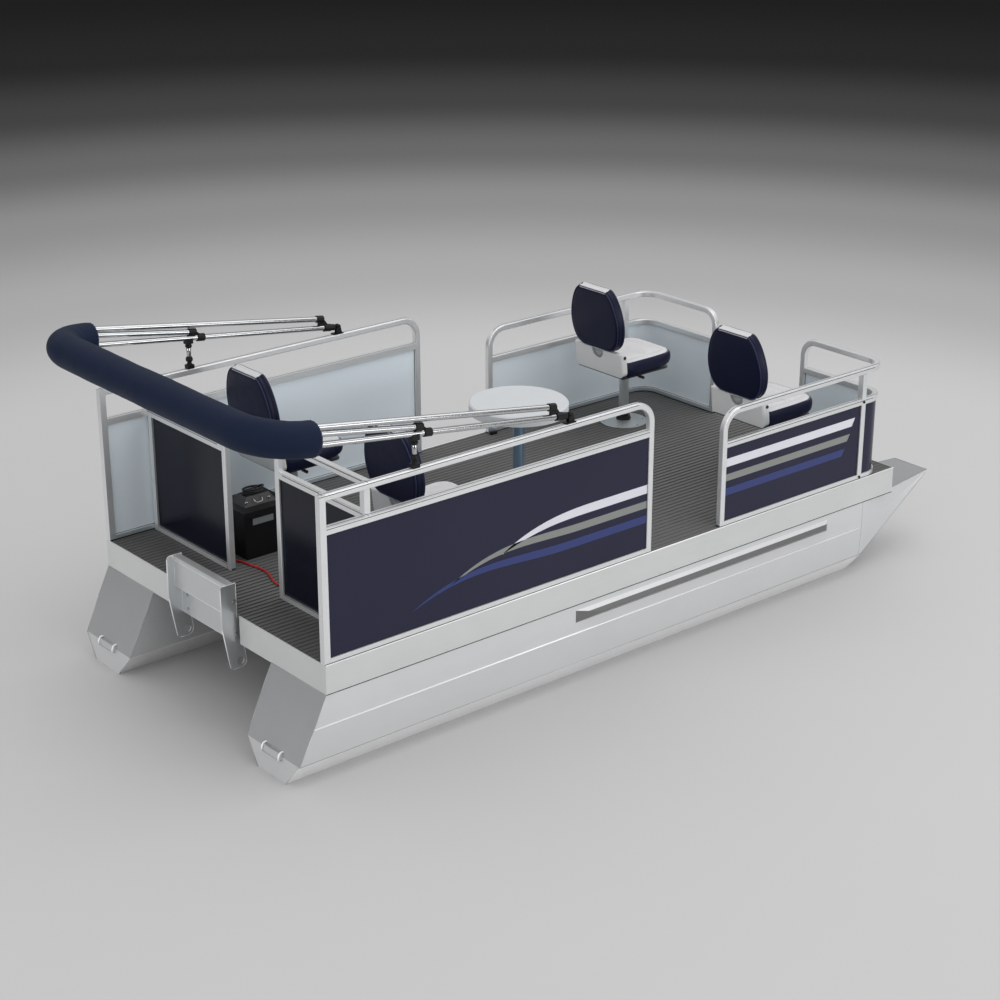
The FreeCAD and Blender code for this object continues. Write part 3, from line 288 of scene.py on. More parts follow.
def hull_finish():
    """Mill sheet: long rolling streaks, painted shade on the rake plates that look upwards, painted light
    on faces that look downwards, water marks, a plate seam and soft dents.
    """
    finish = metal("HullSheet", "hull", (0.62, 0.63, 0.64), 0.44, ALONG, 0.12, 0.03, 0.0012, 0.4)
    tilt = finish.facing("Z")
    # Painted shade: faces that look upwards, the rake plates, are darkened towards grey.
    rake_painted_shade = finish.blend(finish.span(tilt, 0.15, 0.42, 0.0, 0.70), finish.painted(), (0.24, 0.25, 0.26))
    # Painted light: faces that look downwards are brightened towards near white.
    sheet = finish.blend(finish.span(tilt, -0.05, -0.35), rake_painted_shade, (0.97, 0.97, 0.98))
    ripple = finish.cloud(3.0, 5.0, (0.5, 1, 2.2), distortion=0.8)
    mark = finish.math("SUBTRACT", finish.axis("Z"), finish.math("MULTIPLY", ripple, 0.22))
    soil = finish.math("MULTIPLY", finish.span(mark, 0.30, 0.02), 0.25)
    soiled = finish.blend(soil, sheet, (0.45, 0.45, 0.44))
    line = finish.math("LESS_THAN", finish.apart(finish.axis("X"), STERN + NOSE_SEAM), NOSE_SEAM_HALF)
    finish.paint(finish.blend(line, soiled, (0.33, 0.33, 0.34)))


# Heights over the spray rails' middle where the painted shade below the outer edge starts.
SPRAY_SHADE_EDGES = (0.0175, 0.0165)


def spray_finish():
    """Folded sheet, bright above, with painted shade on its outer edge, underside and cut aft end."""
    finish = metal("SprayFold", "hull", (0.78, 0.79, 0.80), 0.34, ALONG, 0.12, 0.04, 0.0, 0.6)
    sheet = finish.painted()
    # Painted shade: faces that look down or aft, and the band below the outer edge, are darkened.
    under = finish.span(finish.facing("Z"), -0.1, -0.3)
    under = finish.math("MAXIMUM", under, finish.span(finish.facing("X"), -0.05, -0.2))
    edges = [centre("spray_rails").z + edge for edge in SPRAY_SHADE_EDGES]
    under = finish.math("MAXIMUM", under, finish.span(finish.axis("Z"), *edges))
    finish.paint(finish.blend(finish.math("MULTIPLY", under, 0.93), sheet, grey(0.13)))


def panel_finish():
    """Painted sheet: navy on its face out of the boat, pale grey blue on its face into it, with painted
    shade making the navy darker on faces that look fore or aft.
    """
    finish = Finish("PanelPaint", "panel", Specular_IOR_Level=0.2)
    outside = finish.math("GREATER_THAN", finish.outward(at(MIDSHIP, 0, 0.3), (1, 1, 1)), 0.0)
    tone = finish.cloud(1.6, 3.0)
    side_navy = finish.blend(tone, (0.016, 0.0165, 0.036), (0.021, 0.021, 0.044))
    across = finish.math("ABSOLUTE", finish.facing("X"))
    # Painted shade: navy faces that look fore or aft are darkened.
    navy = finish.blend(finish.span(across, 0.6, 0.9), side_navy, (0.0040, 0.0050, 0.0120))
    pale = finish.blend(tone, (0.65, 0.72, 0.77), (0.72, 0.79, 0.84))
    finish.paint(finish.blend(outside, pale, navy))
    finish.gloss(finish.cloud(24, 5.0, roughness=0.65), 0.3, 0.75, 0.18, 0.26)
    finish.bump(finish.cloud(0.9, 1.0), 0.0005)


def film_finish(name, colour):
    """Self-adhesive film: smooth, with a faint peel and tiny trapped specks."""
    finish = Finish(name, "panel", Coat_Weight=0.2, Coat_Roughness=0.15)
    finish.mottle(finish.cloud(6, 3.0), colour, 0.95, 1.05)
    finish.gloss(finish.cloud(60, 5.0), 0.3, 0.7, 0.30, 0.42)
    finish.bump(finish.cells(420), 0.00005)


RIB_WIDTH = 0.016
RIB_PITCH = 0.034
RIB_SPLIT = 0.0024
RIB_GROOVE = (0.006, 0.0005)


def deck_finish():
    """Grey ribbed decking: worn rib tops split by a fine line, darker grooves with dust in them."""
    finish = Finish("DeckRibs", "deck")
    groove = finish.span(finish.axis("Z"), *[DECK - depth for depth in RIB_GROOVE])
    wear = finish.cloud(7, 6.0, (0.4, 1, 1), 0.65, 0.5)
    top = finish.blend(wear, (0.094, 0.093, 0.092), (0.124, 0.123, 0.121))
    dust = finish.blend(wear, (0.088, 0.087, 0.086), (0.112, 0.111, 0.109))
    ribs = [v.co.y for v in NODES["deck"].data.vertices if v.co.z > DECK - RIB_GROOVE[1]]
    from_first = finish.math("SUBTRACT", finish.axis("Y"), min(ribs) + RIB_WIDTH / 2)
    pitches = finish.math("ADD", finish.math("DIVIDE", from_first, RIB_PITCH), 0.5)
    from_middle = finish.apart(finish.math("FRACT", pitches), 0.5)
    split = finish.math("LESS_THAN", from_middle, RIB_SPLIT / RIB_PITCH)
    finish.paint(finish.blend(split, finish.blend(groove, dust, top), (0.060, 0.060, 0.059)))
    finish.gloss(wear, 0.25, 0.75, 0.52, 0.72)
    finish.bump(finish.cells(700), 0.0002)


def canvas_finish():
    """Woven acrylic canvas: crossing threads, faded crown and fine fuzz."""
    finish = Finish("Canvas", "boot", Specular_IOR_Level=0.14, Sheen_Weight=0.03, Sheen_Roughness=0.4)
    thread = {"Vector": finish.place(), "Scale": 330.0, "Distortion": 0.6}
    warp, weft = (finish.node("TexWave", thread, bands_direction=way) for way in "XZ")
    weave = finish.math("MULTIPLY", warp, weft)
    fade = finish.cloud(4.5, 5.0, (1, 0.6, 1), 0.6, 0.7)
    base = finish.blend(fade, (0.0034, 0.0092, 0.029), (0.0056, 0.0135, 0.041))
    finish.paint(finish.blend(finish.math("MULTIPLY", weave, 0.3), base, (0.0085, 0.019, 0.054)))
    finish.gloss(fade, 0.2, 0.8, 0.48, 0.64)
    finish.bump(weave, 0.0003)
    finish.bump(finish.cloud(26, 4.0), 0.0016, 0.6)


TRIM_EDGE = 0.0006


def vinyl_finish():
    """Marine vinyl, white where the trim value is above zero and navy elsewhere, with a leather grain."""
    finish = Finish("SeatVinyl", "vinyl", Specular_IOR_Level=0.22)
    trim = finish.node("Attribute", out="Fac", attribute_name="trim")
    soil = finish.cloud(16, 5.0, roughness=0.62, distortion=0.5)
    pale = finish.blend(soil, (0.50, 0.50, 0.51), (0.62, 0.62, 0.63))
    navy = finish.blend(soil, (0.0030, 0.0042, 0.019), (0.0056, 0.0072, 0.031))
    finish.paint(finish.blend(finish.span(trim, -TRIM_EDGE, TRIM_EDGE), navy, pale))
    finish.gloss(soil, 0.25, 0.75, 0.30, 0.46)
    finish.bump(finish.cells(520, "SMOOTH_F1"), 0.00022)
    finish.bump(finish.cloud(45, 3.0), 0.0009, 0.5)


def welt_finish():
    """Navy vinyl cord in a seam, with the stitches as small dents along it."""
    finish = Finish("WeltNavy", "vinyl")
    tone = finish.cloud(60, 4.0)
    finish.mottle(tone, (0.016, 0.020, 0.070), 0.85, 1.15)
    finish.gloss(tone, 0.3, 0.7, 0.34, 0.48)
    finish.bump(finish.cells(260), 0.0004)


def cord_finish(name, slot, colour, roughness):
    """Insulation or rope with a slight waviness, scuffs and dust."""
    finish = Finish(name, slot)
    scuff = finish.cloud(70, 5.0, roughness=0.65)
    finish.mottle(scuff, colour, 0.78, 1.25)
    finish.gloss(scuff, 0.3, 0.7, roughness - 0.08, roughness + 0.1)
    finish.bump(finish.cloud(180, 3.0), 0.0004)


FLOOR_REACH = 24.0
# Painted shade: share of the floor's colour kept at each distance from the middle, standing in for the
# lamps' falloff.
FLOOR_PAINTED_FALLOFF = (
    (0.0, 1.00),
    (4.6, 1.00),
    (7.0, 0.76),
    (9.6, 0.52),
    (11.9, 0.27),
    (14.7, 0.098),
    (18.3, 0.024),
    (FLOOR_REACH, 0.003),
)


def floor_finish():
    """Pale studio floor with painted shade that darkens it far from the boat, where the lamps' light would
    fall off.
    """
    finish = Finish("StudioFloor", "floor", Specular_IOR_Level=0.03)
    reach = finish.node("VectorMath", {0: finish.place()}, out="Value", operation="LENGTH")
    steps = [(distance / FLOOR_REACH, grey(share)) for distance, share in FLOOR_PAINTED_FALLOFF]
    fade = finish.ramp(finish.math("DIVIDE", reach, FLOOR_REACH), steps, "EASE")
    tone = finish.blend(finish.cloud(0.6, 3.0), grey(0.505), grey(0.520))
    finish.paint(finish.blend(1.0, tone, fade, blend_type="MULTIPLY"))
    finish.gloss(finish.cloud(30, 4.0), 0.3, 0.7, 0.6, 0.68)


COLLAR_FOOT = 0.0148
COLLAR_TOP = 0.0525


def pedestal_finish():
    """Brushed post and disc with a black collar between them."""
    finish = metal("Pedestal", "pedestal", (0.60, 0.63, 0.64), 0.36, UPRIGHT, 0.12, 0.05, 0.0, 0.8)
    height = finish.math("SUBTRACT", finish.axis("Z"), DECK)
    band = finish.math("GREATER_THAN", height, COLLAR_FOOT)
    collar = finish.math("MULTIPLY", band, finish.math("LESS_THAN", height, COLLAR_TOP))
    finish.paint(finish.blend(collar, finish.painted(), (0.010, 0.010, 0.011)))
    finish.feed(finish.shader.inputs["Metallic"], finish.span(collar, 0.0, 1.0, 0.8, 0.0))


def lid_finish():
    """Grained black plastic with painted light that makes its sloping faces grey."""
    finish = plastic(
        "BatteryLid", "battery", (0.006, 0.006, 0.007), 0.42, 420, 0.00022, 0.3, Specular_IOR_Level=0.3
    )
    rise = finish.facing("Z")
    # Painted light: faces that slope upwards, though not the flat top, are lightened to grey.
    painted_light_slopes = finish.math("MULTIPLY", finish.span(rise, 0.25, 0.45), finish.span(rise, 0.97, 0.90))
    finish.paint(finish.blend(painted_light_slopes, finish.painted(), (0.062, 0.062, 0.060)))


TUBE = 0.034
STERN_RAIL = 0.840
STERN_MID = 0.676
BOW_RAIL = 0.657
BOW_MID = 0.477
FENCE_SIDE = high("fence_stern_port").y
RAIL_LINE = FENCE_SIDE - TUBE / 2
TRANSOM_FACE = 0.273
CROSS_RAILS = (TUBE / 2, TRANSOM_FACE)
CHANNEL_HALF = 0.0022
SKIRT_EDGES = (0.0360, 0.0345)
# Heights over the deck of the painted shadow along the skirt's foot.
SKIRT_PAINTED_SHADOW = (0.0075, 0.0055)


def rail_finish():
    """Satin tube with a dark channel along its upper faces, a pale skirt on the sill's inner face, and
    painted shadow along the skirt's foot.
    """
    finish = metal("RailTube", "rail", (0.78, 0.79, 0.80), 0.34, ROUND, 0.08, 0.03, 0.0, 0.72)
    lines = finish.apart(finish.math("ABSOLUTE", finish.axis("Y")), RAIL_LINE)
    for rail_x in CROSS_RAILS:
        lines = finish.math("MINIMUM", lines, finish.apart(finish.axis("X"), STERN + rail_x))
    upward = finish.math("GREATER_THAN", finish.facing("Z", "Normal"), 0.8)
    channel = finish.math("MULTIPLY", finish.math("LESS_THAN", lines, CHANNEL_HALF), upward)
    lined = finish.blend(channel, finish.painted(), (0.05, 0.05, 0.055))
    height = finish.math("SUBTRACT", finish.axis("Z"), DECK)
    inner = finish.math("LESS_THAN", finish.outward(at(MIDSHIP, 0, 0), (1, 1, 0)), -0.2)
    skirt = finish.math("MULTIPLY", inner, finish.span(height, *SKIRT_EDGES))
    skirted = finish.blend(skirt, lined, (0.66, 0.73, 0.78))
    # Painted shadow: a dark line along the foot of the skirt, next to the deck.
    painted_shadow_gap = finish.math("MULTIPLY", skirt, finish.span(height, *SKIRT_PAINTED_SHADOW))
    finish.paint(finish.blend(painted_shadow_gap, skirted, (0.03, 0.03, 0.035)))


hull_finish()
spray_finish()
rail_finish()
lid_finish()
panel_finish()
deck_finish()
canvas_finish()
vinyl_finish()
welt_finish()
floor_finish()
pedestal_finish()
metal("DeckEdge", "fascia", (0.68, 0.69, 0.69), 0.36, ALONG, 0.12, 0.04, 0.0004, 0.6)
metal("CrossChannel", "structure", (0.62, 0.63, 0.64), 0.5, ACROSS, 0.14, 0.08)
metal("BowTube", "bow_tube", (0.56, 0.57, 0.58), 0.12, ALONG, 0.02, 0.03, grain=0.000002)
metal("BracketPlate", "bracket", (0.69, 0.71, 0.72), 0.36, UPRIGHT, 0.14, 0.06, 0.0003, 0.85)
metal("Weld", "rail", (0.80, 0.80, 0.81), 0.30, ROUND, 0.2, 0.1)
# Painted highlight: the near-white finish of the bright beads on creases, lips, edges and the lug ends.
metal("PaintedHighlight", "hull", (0.92, 0.92, 0.93), 0.36, ALONG, 0.1, 0.03, 0.0, 0.25)
metal("BoltSteel", "fitting", (0.60, 0.60, 0.61), 0.24, ROUND, 0.16, 0.1)
metal("TablePost", "table_post", (0.19, 0.28, 0.38), 0.34, UPRIGHT, 0.10, 0.03, 0.0, 0.6)
plastic("BlackNylon", "fitting", (0.007, 0.007, 0.008), 0.40, 700, 0.00008, 0.25, Specular_IOR_Level=0.25)
plastic("SwivelEnamel", "swivel", (0.012, 0.012, 0.014), 0.30, 500, 0.00010, 0.2, Coat_Weight=0.3)
plastic("SeatShell", "shell", grey(0.64), 0.34, 800, 0.00008, 0.05, Coat_Weight=0.15)
plastic("TableTop", "table", (0.53, 0.55, 0.57), 0.50, 300, 0.000004, 0.05)
plastic("BatteryCase", "battery", (0.005, 0.005, 0.006), 0.42, 420, 0.00022, 0.3, Specular_IOR_Level=0.3)
plastic("BarePlate", "battery", (0.20, 0.21, 0.21), 0.45, 600, 0.00008, 0.1)
# Black of the rail grooves, and painted shadow in the panel, fascia and sill lines.
plastic("GrooveBlackAndPaintedShadow", "fitting", (0.010, 0.010, 0.012), 0.6, 800, 0.00010, 0.2)
# Painted shade: the darker grey inside the seat backs' hand holes.
plastic("HollowPaintedShade", "shell", (0.30, 0.31, 0.32), 0.5, 700, 0.00008, 0.12)
film_finish("FilmWhite", (0.62, 0.62, 0.68))
film_finish("FilmGrey", (0.20, 0.21, 0.20))
film_finish("FilmBlue", (0.011, 0.024, 0.135))
cord_finish("RedInsulation", "cable", (0.46, 0.012, 0.010), 0.36)
cord_finish("BlackInsulation", "lead", grey(0.012), 0.42)
cord_finish("HemRope", "boot", (0.015, 0.020, 0.050), 0.6)

FENCE_PARTS = [end + "_" + side for side in ("starboard", "port") for end in ("stern", "bow")]
DRESSED = {
    "HullSheet": ["pontoon_starboard", "pontoon_port"],
    "SprayFold": ["spray_rails"],
    "DeckEdge": ["fascia"],
    "CrossChannel": ["cross_members"],
    "DeckRibs": ["deck"],
    "RailTube": ["fence_" + part for part in FENCE_PARTS],
    "PanelPaint": ["panels_" + part for part in FENCE_PARTS],
    "BracketPlate": ["motor_bracket"],
    "BlackNylon": ["gate_catch", "bimini_mounts", "bimini_struts", "bimini_slides", "battery_plug"],
    "BowTube": ["bimini_main_bow", "bimini_front_bow", "bimini_rear_bow"],
    "SwivelEnamel": [name + "_swivel" for name in SEAT_NAMES],
    "SeatShell": [name + "_back_frame" for name in SEAT_NAMES],
    "Pedestal": ["seat_pedestals", "table_base"],
    "TablePost": ["table_post"],
    "TableTop": ["table_top"],
    "BatteryCase": ["battery_box"],
    "BatteryLid": ["battery_lid"],
}
for finish_name, node_names in DRESSED.items():
    for node_name in node_names:
        for slot in NODES[node_name].material_slots:
            slot.material = FINISHES[finish_name].material


# Pieces


def piece(name, data, finish, body, spot=(0, 0, 0)):
    """Object with a finish that rides on a body."""
    thing = placed(name, data)
    thing.location = spot
    if not data.materials:
        data.materials.append(FINISHES[finish].material)
    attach(thing, body)
    return thing


def mesh_from(name, build, smooth=True):
    """Mesh made by a function that fills an empty bmesh."""
    shape = bmesh.new()
    build(shape)
    bmesh.ops.recalc_face_normals(shape, faces=shape.faces)
    for face in shape.faces:
        face.smooth = smooth
    data = bpy.data.meshes.new(name)
    shape.to_mesh(data)
    shape.free()
    return data


def built(name, build, finish, body="hull", smooth=True):
    """Piece whose mesh is made by a function."""
    data = mesh_from(name.title().replace("_", ""), build, smooth)
    return piece(name, data, finish, body)


def join_rings(shape, rings, capped=True, looped=False):
    """Faces between closed rings of equal count, with a fan over each end. Returns the rings' vertices."""
    rows = [[shape.verts.new(point) for point in ring] for ring in rings]
    pairs = list(zip(rows, rows[1:]))
    if looped:
        pairs.append((rows[-1], rows[0]))
    for first, second in pairs:
        for i in range(len(first)):
            j = (i + 1) % len(first)
            shape.faces.new((first[i], first[j], second[j], second[i]))
    if capped and not looped:
        for row in (rows[0], rows[-1]):
            hub = shape.verts.new(sum((v.co for v in row), Vector()) / len(row))
            for i in range(len(row)):
                shape.faces.new((row[i], row[(i + 1) % len(row)], hub))
    return rows


def ring_about(spot, along, radius, count, start=0.0):
    """Circle of points about a spot, square to a direction."""
    side = along.cross(UP)
    if side.length < 1e-6:
        side = FORE.copy()
    side.normalize()
    up = side.cross(along).normalized()
    turns = [start + 2 * math.pi * i / count for i in range(count)]
    return [spot + (side * math.cos(turn) + up * math.sin(turn)) * radius for turn in turns]


def lathe(shape, profile, origin, count=48, along=UP):
    """Turned form from (radius, height) pairs about an axis through origin."""
    along = along.normalized()
    join_rings(shape, [ring_about(origin + along * h, along, max(r, 0.0002), count) for r, h in profile])


def bead(shape, points, radius, count=8, closed=False):
    """Thin round bead along points."""
    rings = []
    total = len(points)
    for i, point in enumerate(points):
        before = points[i - 1] if (i or closed) else point
        after = points[(i + 1) % total] if (i < total - 1 or closed) else point
        along = (after - before).normalized()
        rings.append(ring_about(point, along, radius, count))
    join_rings(shape, rings, looped=closed)


def curve_line(name, points, radius):
    """Round NURBS cord through the reach of its control points."""
    data = bpy.data.curves.new(name, "CURVE")
    data.dimensions = "3D"
    data.resolution_u = 8
    data.bevel_depth = radius
    data.bevel_resolution = 5
    data.use_fill_caps = True
    spline = data.splines.new("NURBS")
    spline.points.add(len(points) - 1)
    for control, point in zip(spline.points, points):
        control.co = (*point, 1)
    spline.order_u = 3
    spline.use_endpoint_u = True
    return data


def button_head(shape, spot, facing, radius, height):
    """Domed screw head with a socket."""
    profile = [(radius, 0), (radius, height * 0.35), (radius * 0.8, height * 0.85), (radius * 0.45, height)]
    profile += [(radius * 0.42, height * 0.55), (0.0, height * 0.5)]
    lathe(shape, profile, spot, 16, facing)


def hex_head(shape, spot, facing, radius, height):
    """Six-sided bolt head on a washer."""
    washer = [(radius * 1.45, 0), (radius * 1.45, height * 0.18), (radius * 1.2, height * 0.22)]
    lathe(shape, washer, spot, 20, facing)
    bolt = [(radius, 0), (radius, height * 0.75), (radius * 0.86, height * 0.9)]
    lathe(shape, bolt, spot + facing.normalized() * (height * 0.2), 6, facing)


def heads(name, places, radius, height, finish, make=button_head):
    """One piece of fastener heads at (spot, facing) places."""

    def build(shape):
        for spot, facing in places:
            make(shape, spot, facing, radius, height)

    built(name, build, finish, smooth=False)


# Cords: the battery lead across the deck and the lead looped on the lid

CABLE_RADIUS = 0.005
LIE = 0.0003
GLAND_X, GLAND_Y, GLAND_Z = 0.388, 0.506, 0.066
CABLE_FALL = (
    (0.000, 0.000, 0.0000),
    (-0.026, -0.001, -0.0005),
    (-0.047, -0.009, -0.0030),
    (-0.063, -0.024, -0.0080),
    (-0.072, -0.045, -0.0145),
    (-0.073, -0.069, -0.0240),
    (-0.070, -0.095, -0.0355),
    (-0.063, -0.122, -0.0470),
    (-0.052, -0.150, -0.0560),
)
CABLE_LIE = (
    (-0.037, -0.179),
    (-0.021, -0.214),
    (-0.010, -0.258),
    (-0.003, -0.314),
    (0.013, -0.376),
    (0.009, -0.444),
    (-0.015, -0.506),
    (-0.036, -0.568),
    (-0.033, -0.630),
    (-0.008, -0.688),
    (0.003, -0.750),
    (-0.010, -0.810),
)
PLUG_STEP = Vector((-0.012, -0.046, 0.007))


def battery_cable():
    """Red lead from the case's gland down to the deck and over to its plug."""
    gland = at(GLAND_X, GLAND_Y, GLAND_Z)
    route = [gland + Vector(step) for step in CABLE_FALL]
    route += [Vector((gland.x + x, gland.y + y, DECK + LIE + CABLE_RADIUS)) for x, y in CABLE_LIE]
    route.append(route[-1] + PLUG_STEP)
    line = curve_line("CableLead", route, CABLE_RADIUS)
    cable = piece("battery_cable_lead", line, "RedInsulation", "hull")
    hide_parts("battery_cable")
    ahead = route[-1] - route[-2]
    ahead.z = 0
    ahead.normalize()

    def plug(shape):
        profile = [(0.0058, 0), (0.0078, 0.004), (0.0088, 0.012), (0.0078, 0.013), (0.0092, 0.020)]
        profile += [(0.0084, 0.021), (0.0105, 0.028), (0.0115, 0.033), (0.0118, 0.060), (0.0108, 0.066)]
        profile += [(0.0110, 0.072), (0.0090, 0.072), (0.0088, 0.058)]
        lathe(shape, profile, route[-1] + UP * LIE, 32, ahead)

    end = built("battery_plug_body", plug, "BlackNylon")
    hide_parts("battery_plug")

    def relief(shape):
        out = (route[1] - route[0]).normalized()
        profile = [(0.0110, -0.002), (0.0105, 0.004), (0.0085, 0.005), (0.0088, 0.009), (0.0072, 0.010)]
        profile += [(0.0075, 0.014), (0.0062, 0.015), (0.0064, 0.020), (0.0054, 0.022)]
        lathe(shape, profile, route[0], 24, out)

    sleeve = built("battery_cable_relief", relief, "BlackNylon")


LEAD_RADIUS = 0.004
LEAD_TURNS = 3
LEAD_STEPS = 14
LEAD_PILE = 0.0245
LEAD_OUT = ((0.012, 0.000, 0.0075), (0.021, 0.001, 0.0072), (0.031, 0.005, 0.0065), (0.041, 0.012, 0.0055))
LEAD_HOME = (-0.012, 0.001, 0.008)
LEAD_RETURN = ((0.30, 0.012), (0.55, 0.014), (0.78, 0.009), (1.0, 0.0))


def battery_leads():
    """Black lead in three loose loops on the lid, out of its gland and back into it."""
    hub = centre("battery_leads")
    hub.z = low("battery_leads").z
    reach = (high("battery_leads") - low("battery_leads")) / 2
    route = [hub + Vector(step) for step in LEAD_OUT]
    count = LEAD_TURNS * LEAD_STEPS
    for i in range(1, count):
        turn = 0.22 + i / LEAD_STEPS
        wobble = 0.5 + 0.5 * math.sin(2.3 * turn + 1.1)
        wide = (reach.x - LEAD_RADIUS) * (0.80 + 0.16 * wobble)
        deep = (reach.y - LEAD_RADIUS) * (0.78 + 0.18 * (1 - wobble))
        rise = LEAD_RADIUS + LEAD_PILE * i / count + 0.0015 * math.sin(5.1 * turn)
        angle = 2 * math.pi * (turn - 0.13)
        route.append(hub + Vector((wide * math.cos(angle), deep * math.sin(angle), rise)))
    last = route[-1]
    home = hub + Vector(LEAD_HOME)
    route += [last.lerp(home, share) + PORT * lean for share, lean in LEAD_RETURN]
    line = curve_line("LeadLoops", route, LEAD_RADIUS)
    lead = piece("battery_lead_loops", line, "BlackInsulation", "battery_lid")
    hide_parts("battery_leads")


battery_cable()
battery_leads()


# Soft goods


def coordinates(data):
    values = np.empty(len(data.vertices) * 3)
    data.vertices.foreach_get("co", values)
    return values.reshape(-1, 3)


def set_trim(data, values):
    """Stores how far each point is inside the white part of the cover."""
    layer = data.attributes.new("trim", "FLOAT", "POINT")
    layer.data.foreach_set("value", values.astype(np.float32))


def evaluated(holder):
    """Mesh of a helper object with its modifiers, which takes the object away."""
    graph = bpy.context.evaluated_depsgraph_get()
    result = bpy.data.meshes.new_from_object(holder.evaluated_get(graph))
    bpy.data.objects.remove(holder)
    return result


def remeshed(data, cell):
    """Copy of a mesh rebuilt from even cells."""
    holder = placed("Remesh", data)
    remesh = holder.modifiers.new("Remesh", "REMESH")
    remesh.mode = "VOXEL"
    remesh.voxel_size = cell
    remesh.use_smooth_shade = True
    return evaluated(holder)


PUFF_FRAMES = 20
CLOTH = {
    "quality": 6,
    "mass": 0.25,
    "tension_stiffness": 12,
    "compression_stiffness": 12,
    "bending_stiffness": 0.4,
    "use_pressure": True,
    "uniform_pressure_force": 4.0,
    "vertex_group_mass": "held",
}


def puffed(data, held, swell):
    """Cover blown up by cloth simulation, fast at the points that are held, moved by swell at most."""
    scene = bpy.context.scene
    holder = placed("Puff", data)
    group = holder.vertex_groups.new(name="held")
    group.add(np.nonzero(held)[0].tolist(), 1.0, "REPLACE")
    cloth = holder.modifiers.new("Puff", "CLOTH")
    for key, value in CLOTH.items():
        setattr(cloth.settings, key, value)
    cloth.settings.effector_weights.gravity = 0
    cloth.collision_settings.use_self_collision = False
    cloth.point_cache.frame_start = 1
    cloth.point_cache.frame_end = PUFF_FRAMES
    for step in range(1, PUFF_FRAMES + 1):
        scene.frame_set(step)
    result = evaluated(holder)
    before = coordinates(data)
    moved = coordinates(result) - before
    length = np.linalg.norm(moved, axis=1, keepdims=True)
    capped = before + moved * np.minimum(1, swell / np.maximum(length, 1e-9))
    result.vertices.foreach_set("co", capped.ravel())
    result.update()
    scene.frame_set(1)
    return result


CUSHION_REAR = -0.190
CUSHION_FRONT = 0.241
CUSHION_MIDDLE = (CUSHION_REAR + CUSHION_FRONT) / 2
CUSHION_HALF = 0.205
CUSHION_HEIGHT = 0.092
REAR_ROUND = 0.060
FRONT_ROUND = 0.095
INNER_SEAM = 0.062
CROSS_SEAM = 0.035
SOFT_CELL = 0.0065
SEAM_HALF = 0.0042
SEAM_DEPTH = 0.0035
CUSHION_SWELL = 0.008
PAD_SWELL = 0.007
TRIM_INSET = 0.030
UNDER_BAND = 0.006
SKIRT_TOP = 0.081
FRONT_RISE = 0.03
FRONT_LIFT = 0.034
FRONT_ROLL = 0.012
CUSHION_PROFILE = (
    (0.140, 0.0000),
    (0.080, 0.0000),
    (0.030, 0.0000),
    (0.008, 0.0010),
    (0.001, 0.0060),
    (-0.001, 0.0160),
    (-0.002, 0.0340),
    (-0.001, 0.0520),
    (0.004, 0.0660),
    (0.012, 0.0760),
    (0.020, SKIRT_TOP),
    (0.034, 0.0895),
    (0.052, 0.0925),
    (0.078, 0.0925),
    (0.110, 0.0905),
    (0.150, 0.0905),
)


def frontness(x):
    """0 behind the middle of the cushion, 1 at its front edge."""
    return np.clip((x - FRONT_RISE) / (CUSHION_FRONT - FRONT_RISE), 0, 1)


def skirt_top(x):
    """Height of the seam between the cushion's side and its top."""
    return SKIRT_TOP + FRONT_ROLL * frontness(x) ** 2


def rounded_distance(x, y):
    """Distance inside the cushion's rounded outline, in plan."""
    radius = np.where(x < CUSHION_MIDDLE, REAR_ROUND, FRONT_ROUND)
    dx = np.abs(x - CUSHION_MIDDLE) - (CUSHION_FRONT - CUSHION_REAR) / 2 + radius
    dy = np.abs(y) - CUSHION_HALF + radius
    outside = np.hypot(np.maximum(dx, 0), np.maximum(dy, 0))
    return radius - outside - np.minimum(np.maximum(dx, dy), 0)


def plan_outline(inset, steps=9, runs=10):
    """Points round the seat's outline in plan, moved inwards by an inset."""
    half = CUSHION_HALF - inset
    rear = CUSHION_REAR + inset
    front = CUSHION_FRONT - inset
    corners = (
        (front, half, FRONT_ROUND),
        (rear, half, REAR_ROUND),
        (rear, -half, REAR_ROUND),
        (front, -half, FRONT_ROUND),
    )
    points = []
    for quarter, (x, y, radius) in enumerate(corners):
        radius = max(radius - inset, 0.004)
        mid = Vector((x - math.copysign(radius, x - CUSHION_MIDDLE), y - math.copysign(radius, y)))
        for i in range(steps):
            angle = math.pi / 2 * (quarter + i / (steps - 1))
            points.append(mid + Vector((math.cos(angle), math.sin(angle))) * radius)
    full = []
    for i, point in enumerate(points):
        full.append(point)
        after = points[(i + 1) % len(points)]
        if i % steps == steps - 1:
            full += [point.lerp(after, k / runs) for k in range(1, runs)]
    return full


def cushion_shape(shape):
    """Seat cushion about its turning axis: lifted front edge below, soft sides, crowned top."""
    rings = []
    for inset, level in CUSHION_PROFILE:
        ring = []
        for spot in plan_outline(inset):
            rise = frontness(spot.x)
            lifted = level + FRONT_LIFT * rise**1.5 * (1 - min(1.0, level / CUSHION_HEIGHT))
            lifted += FRONT_ROLL * rise**2 * min(1.0, level / SKIRT_TOP)
            pinch = 0.003 * math.cos(spot.x * 17) * (1 if 0.001 < level < 0.07 else 0)
            ring.append(Vector((spot.x, spot.y - math.copysign(pinch, spot.y), lifted)))
        rings.append(ring)
    join_rings(shape, rings)


def soft_cover(name, shape):
    """Even mesh of a soft form, and its points."""
    data = mesh_from(name, shape)
    data = remeshed(data, SOFT_CELL)
    return data, coordinates(data)


def sewn(data, co, seams, held, axis, swell):
    """Cover drawn in at its seams along an axis and blown up between them."""
    sunk = co.copy()
    sunk[seams, axis] -= SEAM_DEPTH
    data.vertices.foreach_set("co", sunk.ravel())
    return puffed(data, seams | held, swell)


